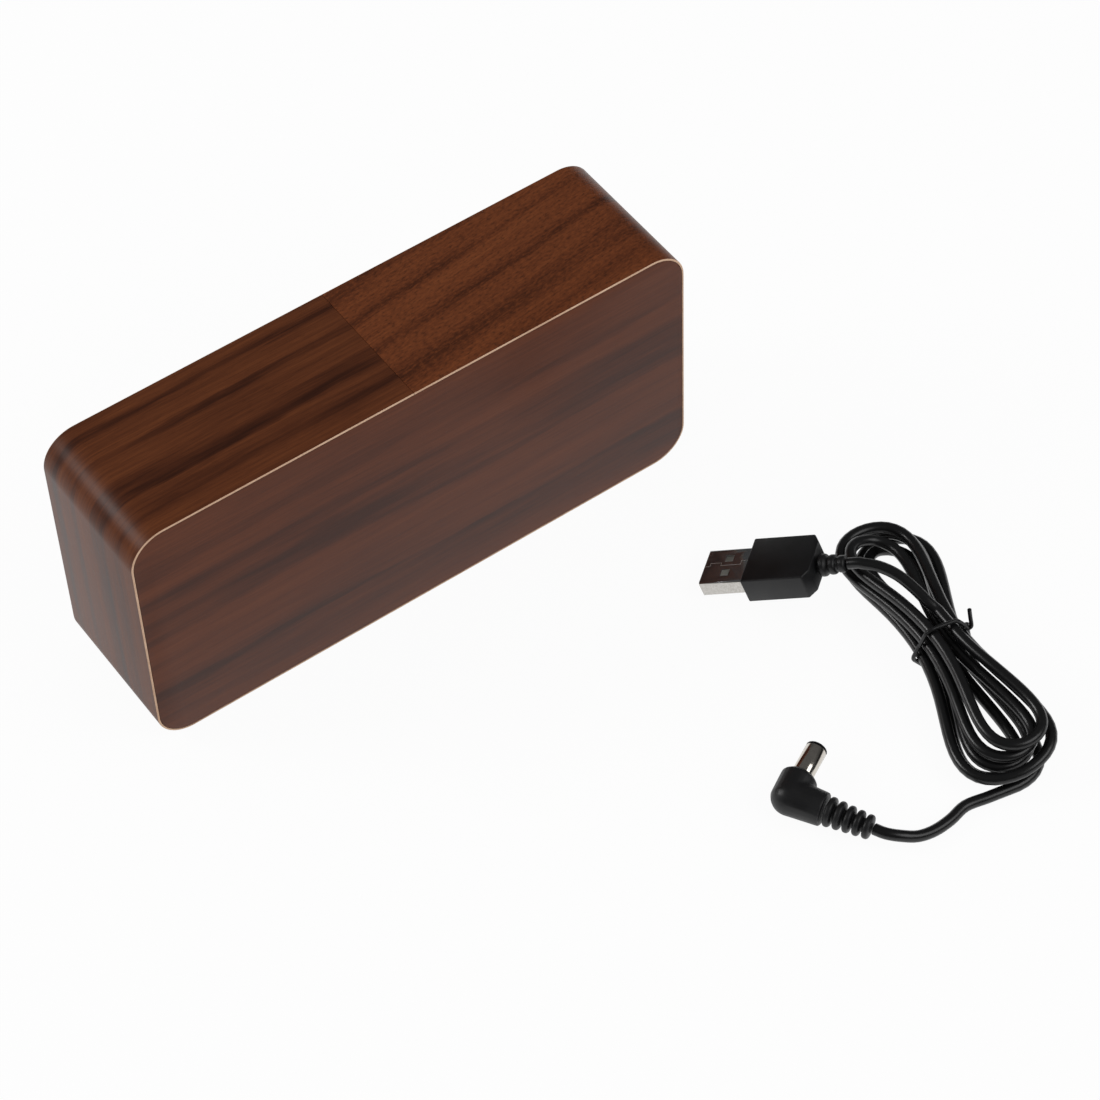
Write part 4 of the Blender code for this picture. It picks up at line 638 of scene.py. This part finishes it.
def softened(name, mesh, width, segments=3):
    """A mesh with its flat faces made whole and its sharp edges rounded."""
    shape = bmesh.new()
    shape.from_mesh(mesh)
    bmesh.ops.remove_doubles(shape, verts=shape.verts, dist=WELD)
    bmesh.ops.dissolve_limit(shape, angle_limit=FLAT_ANGLE, verts=shape.verts, edges=shape.edges)
    made = bpy.data.meshes.new(name)
    shape.to_mesh(made)
    shape.free()
    edges = dict(width=width, segments=segments, limit_method="ANGLE", angle_limit=BEVEL_ANGLE)
    return baked(name, made, ("BEVEL", edges))


def lathe(name, profile, matrix, steps=48):
    """A closed turned mesh from (radius, height) pairs, down its outer side."""
    shape = bmesh.new()
    rings = []
    for radius, height in profile:
        if radius < WELD:
            rings.append([shape.verts.new((0, 0, height))])
            continue
        turns = [2 * pi * step / steps for step in range(steps)]
        rings.append([shape.verts.new((radius * cos(turn), radius * sin(turn), height)) for turn in turns])
    pairs = list(zip(rings, rings[1:]))
    if profile[0][0] > WELD:
        pairs.append((rings[-1], rings[0]))
    for ring, following in pairs:
        for step in range(steps):
            after = (step + 1) % steps
            corners = [ring[step % len(ring)], ring[after % len(ring)]]
            corners += [following[after % len(following)], following[step % len(following)]]
            kept = [corner for number, corner in enumerate(corners) if corner not in corners[:number]]
            shape.faces.new(kept)
    bmesh.ops.recalc_face_normals(shape, faces=shape.faces)
    shape.transform(matrix)
    made = bpy.data.meshes.new(name)
    shape.to_mesh(made)
    shape.free()
    made.shade_smooth()
    made.set_sharp_from_angle(angle=SMOOTH_ANGLE)
    return made


def along(start, direction):
    turn = Vector((0, 0, 1)).rotation_difference(Vector(direction)).to_matrix().to_4x4()
    return Matrix.Translation(start) @ turn


def ribbed(length, start_radius, end_radius, ribs, groove):
    """A relief's profile from its far end to its base, with round ribs."""
    core = CORD_DIAMETER / 2 + SEAT_GAP
    pitch = length / ribs
    profile = [(0, length)]
    for rib in range(ribs):
        middle = length - (rib + 1 / 2) * pitch
        radius = end_radius + (start_radius - end_radius) * rib / (ribs - 1)
        low = max(radius - groove, core)
        for step in range(RIB_STEPS + 1):
            place = 1 - 2 * step / RIB_STEPS
            bulge = (1 - abs(place) ** 3) ** 0.5
            profile.append((low + (radius - low) * bulge, middle + place * pitch * RIB_SHARE))
    return profile + [(0, 0)]


def add_piece(name, mesh, look, node, matrix=None):
    piece = dress(new_object(name, mesh), look)
    if matrix is not None:
        piece.matrix_world = matrix @ piece.matrix_world
    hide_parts(node)
    return piece


def node_copy(name, matrix=None):
    """A copy of a node's mesh, turned back into the frame of a matrix."""
    mesh = NODES[name].data.copy()
    if matrix is not None:
        mesh.transform(matrix.inverted())
    return mesh


def make_usb_plug(looks):
    frame_of_plug = usb_frame()
    shell = softened("plug_shell", node_copy("usb_shell", frame_of_plug), SHELL_EDGE, 2)
    add_piece("plug_shell", shell, looks["shell"], "usb_shell", frame_of_plug)
    tongue = softened("plug_tongue", node_copy("usb_tongue"), SHELL_EDGE, 2)
    add_piece("plug_tongue", tongue, looks["white"], "usb_tongue")
    start = USB_SHELL_LENGTH + SEAT_GAP
    end = start + USB_GRIP_LENGTH
    side, half = USB_GRIP_WIDTH / 2, USB_GRIP_THICKNESS / 2
    shape = bmesh.new()
    outline = [(start, side), (end - GRIP_CHAMFER[0], side), (end, side - GRIP_CHAMFER[1])]
    outline += [(x, -y) for x, y in outline[::-1]]
    rings = [[shape.verts.new((x, y, z)) for x, y in outline] for z in (-half, half)]
    shape.faces.new(rings[0][::-1])
    shape.faces.new(rings[1])
    for number in range(len(outline)):
        after = (number + 1) % len(outline)
        shape.faces.new((rings[0][number], rings[0][after], rings[1][after], rings[1][number]))
    bmesh.ops.recalc_face_normals(shape, faces=shape.faces)
    block = bpy.data.meshes.new("plug_block")
    shape.to_mesh(block)
    shape.free()
    grip = softened("plug_grip", block, GRIP_EDGE, 3)
    add_piece("plug_grip", grip, looks["grip"], "usb_grip", frame_of_plug)
    base = frame_of_plug @ along((end + SEAT_GAP, 0, 0), (1, 0, 0))
    profile = ribbed(USB_RELIEF_LENGTH, *USB_RELIEF_RADII, 3, USB_RELIEF_GROOVE)
    relief = lathe("plug_relief", profile, base)
    add_piece("plug_relief", relief, looks["moulding"], "usb_relief")


def make_dc_plug(looks):
    elbow = Vector(DC_ELBOW)
    cordward = Vector((cos(DC_CORD_HEADING), sin(DC_CORD_HEADING), 0))
    start = elbow + cordward * (DC_BODY_LENGTH + SEAT_GAP)
    profile = ribbed(DC_RELIEF_LENGTH, *DC_RELIEF_RADII, 5, DC_RELIEF_GROOVE)
    relief = lathe("barrel_plug_relief", profile, along(start, cordward))
    add_piece("barrel_plug_relief", relief, looks["moulding"], "dc_relief")
    voxels = dict(mode="VOXEL", voxel_size=ELBOW_VOXEL)
    rounded = dict(factor=0.5, iterations=ELBOW_ROUNDS)
    grip = baked("barrel_plug_grip", node_copy("dc_grip"), ("REMESH", voxels), ("SMOOTH", rounded))
    add_piece("barrel_plug_grip", grip, looks["moulding"], "dc_grip")
    for name, node, look, slot in (
        ("plug_barrel", "dc_barrel", "barrel", "nickel"),
        ("plug_tip_ring", "dc_tip_ring", "moulding", "black_plastic"),
    ):
        mesh = softened(name, node_copy(node), BARREL_EDGE, 2)
        add_piece(name, mesh, looks[look], node)


def belt(points, reach, steps=6):
    """A closed tight way round points in a plane, at a distance from them."""
    points = sorted(points)

    def half(run):
        kept = []
        for x, y in run:
            while len(kept) > 1:
                (ax, ay), (bx, by) = kept[-2:]
                if (bx - ax) * (y - ay) - (by - ay) * (x - ax) > 0:
                    break
                kept.pop()
            kept.append((x, y))
        return kept[:-1]

    hull = half(points) + half(points[::-1])
    way = []
    for before, (x, y), after in zip(hull[-1:] + hull, hull, hull[1:] + hull[:1]):
        first = atan2(before[0] - x, y - before[1])
        last = atan2(x - after[0], after[1] - y)
        swing = (last - first) % (2 * pi)
        for step in range(steps + 1):
            turn = first + swing * step / steps
            way.append((x + reach * cos(turn), y + reach * sin(turn)))
    return way


def make_tie(looks):
    """A wire tie close round the hank's waist, with one end standing up and one hanging down."""
    waist = [hank_point(turn / 2) for turn in range(round(HANK_LAST_TURN * 2) + 1)]
    lean = HANK_AXIS - HANK_FAN * len(REVERSAL_TURNS) / 2
    across, ahead = Vector((cos(lean), -sin(lean), 0)), Vector((sin(lean), cos(lean), 0))
    up = Vector((0, 0, 1))
    middle = Vector((*HANK_WAIST, 0))
    flat = [((point - middle).dot(across), point.z) for point in waist]
    reach = (CORD_DIAMETER + TIE_DIAMETER) / 2 + TIE_CLEARANCE
    way = belt(flat, reach)
    start = max(range(len(way)), key=lambda number: way[number][0] + way[number][1] * TIE_START_LEAN)
    way = way[start:] + way[:start + 1]
    loop = []
    for number, (x, y) in enumerate(way):
        wound = number / (len(way) - 1) - 0.5
        loop.append(middle + across * x + up * y + ahead * TIE_PITCH * wound)

    def tail(root, ways):
        return through([root] + [root + across * x + ahead * y + up * z for x, y, z in ways], TIE_TAIL_STEP)

    shape = bmesh.new()
    strands = (loop, tail(loop[0], TIE_TAIL_UP), tail(loop[-1], TIE_TAIL_DOWN))
    for number, points in enumerate(strands):
        shape.from_mesh(tube(f"wire_tie_{number}", points, TIE_DIAMETER, 3))
    made = bpy.data.meshes.new("wire_tie")
    shape.to_mesh(made)
    shape.free()
    made.shade_smooth()
    add_piece("wire_tie", made, looks["moulding"], "twist_tie")


def make_back_screws(looks):
    """The cover's four screws, with a cross in each head."""
    for number in range(1, 5):
        node = f"back_screw_{number}"
        low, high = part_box(node)
        x, z = (low.x + high.x) / 2, (low.z + high.z) / 2
        mesh = softened(f"cover_screw_{number}", node_copy(node), SCREW_EDGE, 2)
        cutter = bmesh.new()
        for size in ((CROSS_LENGTH, CROSS_WIDTH), (CROSS_WIDTH, CROSS_LENGTH)):
            scale = Matrix.Diagonal((size[0], 2 * CROSS_DEPTH, size[1], 1))
            turn = Matrix.Rotation(radians(CROSS_TURNS[number - 1]), 4, "Y")
            bmesh.ops.create_cube(cutter, size=1, matrix=Matrix.Translation((x, high.y, z)) @ turn @ scale)
        cross = bpy.data.meshes.new("cross")
        cutter.to_mesh(cross)
        cutter.free()
        tool = bpy.data.objects.new("cross", cross)
        bpy.context.scene.collection.objects.link(tool)
        bpy.context.view_layer.update()
        recess = dict(operation="DIFFERENCE", object=tool, solver="EXACT", use_self=True)
        mesh = baked(f"cover_screw_{number}", mesh, ("BOOLEAN", recess))
        bpy.data.objects.remove(tool, do_unlink=True)
        add_piece(f"cover_screw_{number}", mesh, looks["steel"], node)


# Case
def rounded_path(length, height, radius, closed=False):
    """Points and outward directions round the case, from one side of the joint on top to the other.

    A closed path has no joint.
    """
    half = FILM_JOINT / 2
    path = [] if closed else [((half, height / 2), (0, 1))]
    for corner, (sx, sz) in enumerate(((1, 1), (1, -1), (-1, -1), (-1, 1))):
        for step in range(CORNER_STEPS + 1):
            angle = pi / 2 - (corner + step / CORNER_STEPS) * pi / 2
            out = (cos(angle), sin(angle))
            x, z = sx * (length / 2 - radius) + radius * out[0], sz * (height / 2 - radius) + radius * out[1]
            path.append(((x, z), out))
    return path if closed else path + [((-half, height / 2), (0, 1))]


def make_front(looks):
    """The film on the front, its edge turned over a little."""
    low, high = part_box("front_veneer")
    shape = bmesh.new()
    middle = (low.z + high.z) / 2
    rings = []
    section = [(FRONT_EDGE, low.y)]
    for step in range(1, 5):
        angle = step * pi / 8
        section.append((FRONT_EDGE * (1 - sin(angle)), low.y + FRONT_EDGE * (1 - cos(angle))))
    section.append((0, high.y))
    radius = CORNER_RADIUS - FILM_THICKNESS - FILM_JOINT
    path = rounded_path(high.x - low.x, high.z - low.z, radius, closed=True)
    for inward, y in section:
        places = [(x - out_x * inward, y, middle + z - out_z * inward) for (x, z), (out_x, out_z) in path]
        rings.append([shape.verts.new(place) for place in places])
    for ring, following in zip(rings, rings[1:]):
        for number in range(len(ring)):
            after = (number + 1) % len(ring)
            shape.faces.new((ring[number], ring[after], following[after], following[number])).smooth = True
    shape.faces.new(rings[0])
    shape.faces.new(rings[-1][::-1])
    bmesh.ops.recalc_face_normals(shape, faces=shape.faces)
    mesh = bpy.data.meshes.new("front_film")
    shape.to_mesh(mesh)
    shape.free()
    mesh.set_sharp_from_angle(angle=SMOOTH_ANGLE)
    film = dress(new_object("front_film", mesh), looks["walnut_front"])
    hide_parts("front_veneer")


def make_wrap(looks):
    """The film round the case, with softened edges and a butt joint on top."""
    low, high = CASE_BOX
    edge = FILM_EDGE
    section = [(FILM_THICKNESS, low.y), (edge, low.y)]
    for step in range(1, 4):
        angle = step * pi / 8
        section.append((edge * (1 - sin(angle)), low.y + edge * (1 - cos(angle))))
    section.append((0, low.y + edge))
    section += [(inward, low.y + high.y - y) for inward, y in section[::-1]]
    shape = bmesh.new()
    rings = []
    middle = (low.z + high.z) / 2
    for (x, z), (out_x, out_z) in rounded_path(high.x - low.x, high.z - low.z, CORNER_RADIUS):
        places = [(x - out_x * inward, y, middle + z - out_z * inward) for inward, y in section]
        rings.append([shape.verts.new(place) for place in places])
    count = len(section)
    printed = range(4, count - 5)
    for ring, following in zip(rings, rings[1:]):
        for number in range(count):
            after = (number + 1) % count
            face = shape.faces.new((ring[number], following[number], following[after], ring[after]))
            face.smooth = True
            face.material_index = 0 if number in printed else 1
    shape.faces.new(rings[0])
    shape.faces.new(rings[-1][::-1])
    bmesh.ops.recalc_face_normals(shape, faces=shape.faces)
    mesh = bpy.data.meshes.new("wrap_film")
    shape.to_mesh(mesh)
    shape.free()
    mesh.set_sharp_from_angle(angle=SMOOTH_ANGLE)
    wrap = dress(new_object("wrap_film", mesh), looks["walnut"], looks["film_edge"])
    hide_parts("wrap_veneer")


# Stage
FLOOR_SIZE = 2.6
FLOOR_DROP = 0.0002
FLOOR_GREY = 0.80
FLOOR_GLOW = 0.95
WORLD_LIGHT = 0.50
# What shiny faces see of the sky: two heights, and the strength at each
GLOSSY_SKY = (0.0, 0.6, 0.03, 0.14)
LAMP_TARGET = (0, 0, 0.03)
# Name, place, size and power
LAMPS = (
    ("key", (-0.75, 0.55, 0.62), (0.36, 0.36), 4.4),
    ("fill", (0.55, -0.9, 0.9), (0.9, 0.7), 5.0),
)


def make_stage():
    """A pale floor that keeps the shadow, and is nearly white to the camera and in reflections."""
    bpy.ops.mesh.primitive_plane_add(size=FLOOR_SIZE, location=(0, 0, -FLOOR_DROP))
    floor = bpy.context.object
    floor.name = "floor"
    tree = Tree("floor_paper")
    tree.colour((FLOOR_GREY, FLOOR_GREY, FLOOR_GREY, 1))
    tree.rough(0.9)
    tree.set(Specular_IOR_Level=0.0)
    path = tree.node("ShaderNodeLightPath")
    seen = tree.math("MAXIMUM", path.outputs["Is Camera Ray"], path.outputs["Is Glossy Ray"])
    seen = tree.math("MAXIMUM", seen, path.outputs["Is Transmission Ray"])
    glow = tree.node("ShaderNodeEmission", {"Color": (1, 1, 1, 1), "Strength": 1.0})
    share = tree.math("MULTIPLY", seen, FLOOR_GLOW)
    mixed = tree.node("ShaderNodeMixShader", {0: share, 1: tree.shader.outputs[0], 2: glow.outputs[0]})
    tree.links.new(mixed.outputs[0], tree.nodes["Material Output"].inputs["Surface"])
    dress(floor, tree.material)


def make_world():
    """Soft light all round, a dim sky for shiny faces, and white for the camera."""
    world = bpy.data.worlds.new("studio")
    bpy.context.scene.world = world
    world.use_nodes = True
    nodes, links = world.node_tree.nodes, world.node_tree.links
    light = nodes["Background"]
    light.inputs["Color"].default_value = (1, 1, 1, 1)
    light.inputs["Strength"].default_value = WORLD_LIGHT
    seen = nodes.new("ShaderNodeBackground")
    seen.inputs["Color"].default_value = (1, 1, 1, 1)
    path = nodes.new("ShaderNodeLightPath")
    shiny = nodes.new("ShaderNodeBackground")
    direction = nodes.new("ShaderNodeTexCoord")
    split = nodes.new("ShaderNodeSeparateXYZ")
    links.new(direction.outputs["Generated"], split.inputs[0])
    height = nodes.new("ShaderNodeMapRange")
    for number, value in enumerate(GLOSSY_SKY, 1):
        height.inputs[number].default_value = value
    links.new(split.outputs["Z"], height.inputs[0])
    links.new(height.outputs[0], shiny.inputs["Strength"])
    for_shine = nodes.new("ShaderNodeMixShader")
    links.new(path.outputs["Is Glossy Ray"], for_shine.inputs[0])
    links.new(light.outputs[0], for_shine.inputs[1])
    links.new(shiny.outputs[0], for_shine.inputs[2])
    for_camera = nodes.new("ShaderNodeMixShader")
    ahead = nodes.new("ShaderNodeMath")
    ahead.operation = "MAXIMUM"
    links.new(path.outputs["Is Camera Ray"], ahead.inputs[0])
    links.new(path.outputs["Is Transmission Ray"], ahead.inputs[1])
    links.new(ahead.outputs[0], for_camera.inputs[0])
    links.new(for_shine.outputs[0], for_camera.inputs[1])
    links.new(seen.outputs[0], for_camera.inputs[2])
    links.new(for_camera.outputs[0], nodes["World Output"].inputs["Surface"])


def make_lamp(name, place, size, power):
    data = bpy.data.lights.new(name, "AREA")
    data.shape = "RECTANGLE"
    data.size, data.size_y = size
    data.energy = power
    lamp = bpy.data.objects.new(name, data)
    lamp.location = place
    lamp.rotation_mode = "QUATERNION"
    lamp.rotation_quaternion = (Vector(LAMP_TARGET) - Vector(place)).to_track_quat("-Z", "Y")
    bpy.context.scene.collection.objects.link(lamp)


def main():
    make_camera()
    looks = make_materials()
    dress_nodes(looks)
    make_usb_plug(looks)
    make_dc_plug(looks)
    make_tie(looks)
    make_cord(looks)
    make_back_screws(looks)
    make_wrap(looks)
    make_front(looks)
    make_stage()
    make_world()
    for name, place, size, power in LAMPS:
        make_lamp(name, place, size, power)
    bpy.context.scene.view_settings.view_transform = "Standard"


main()
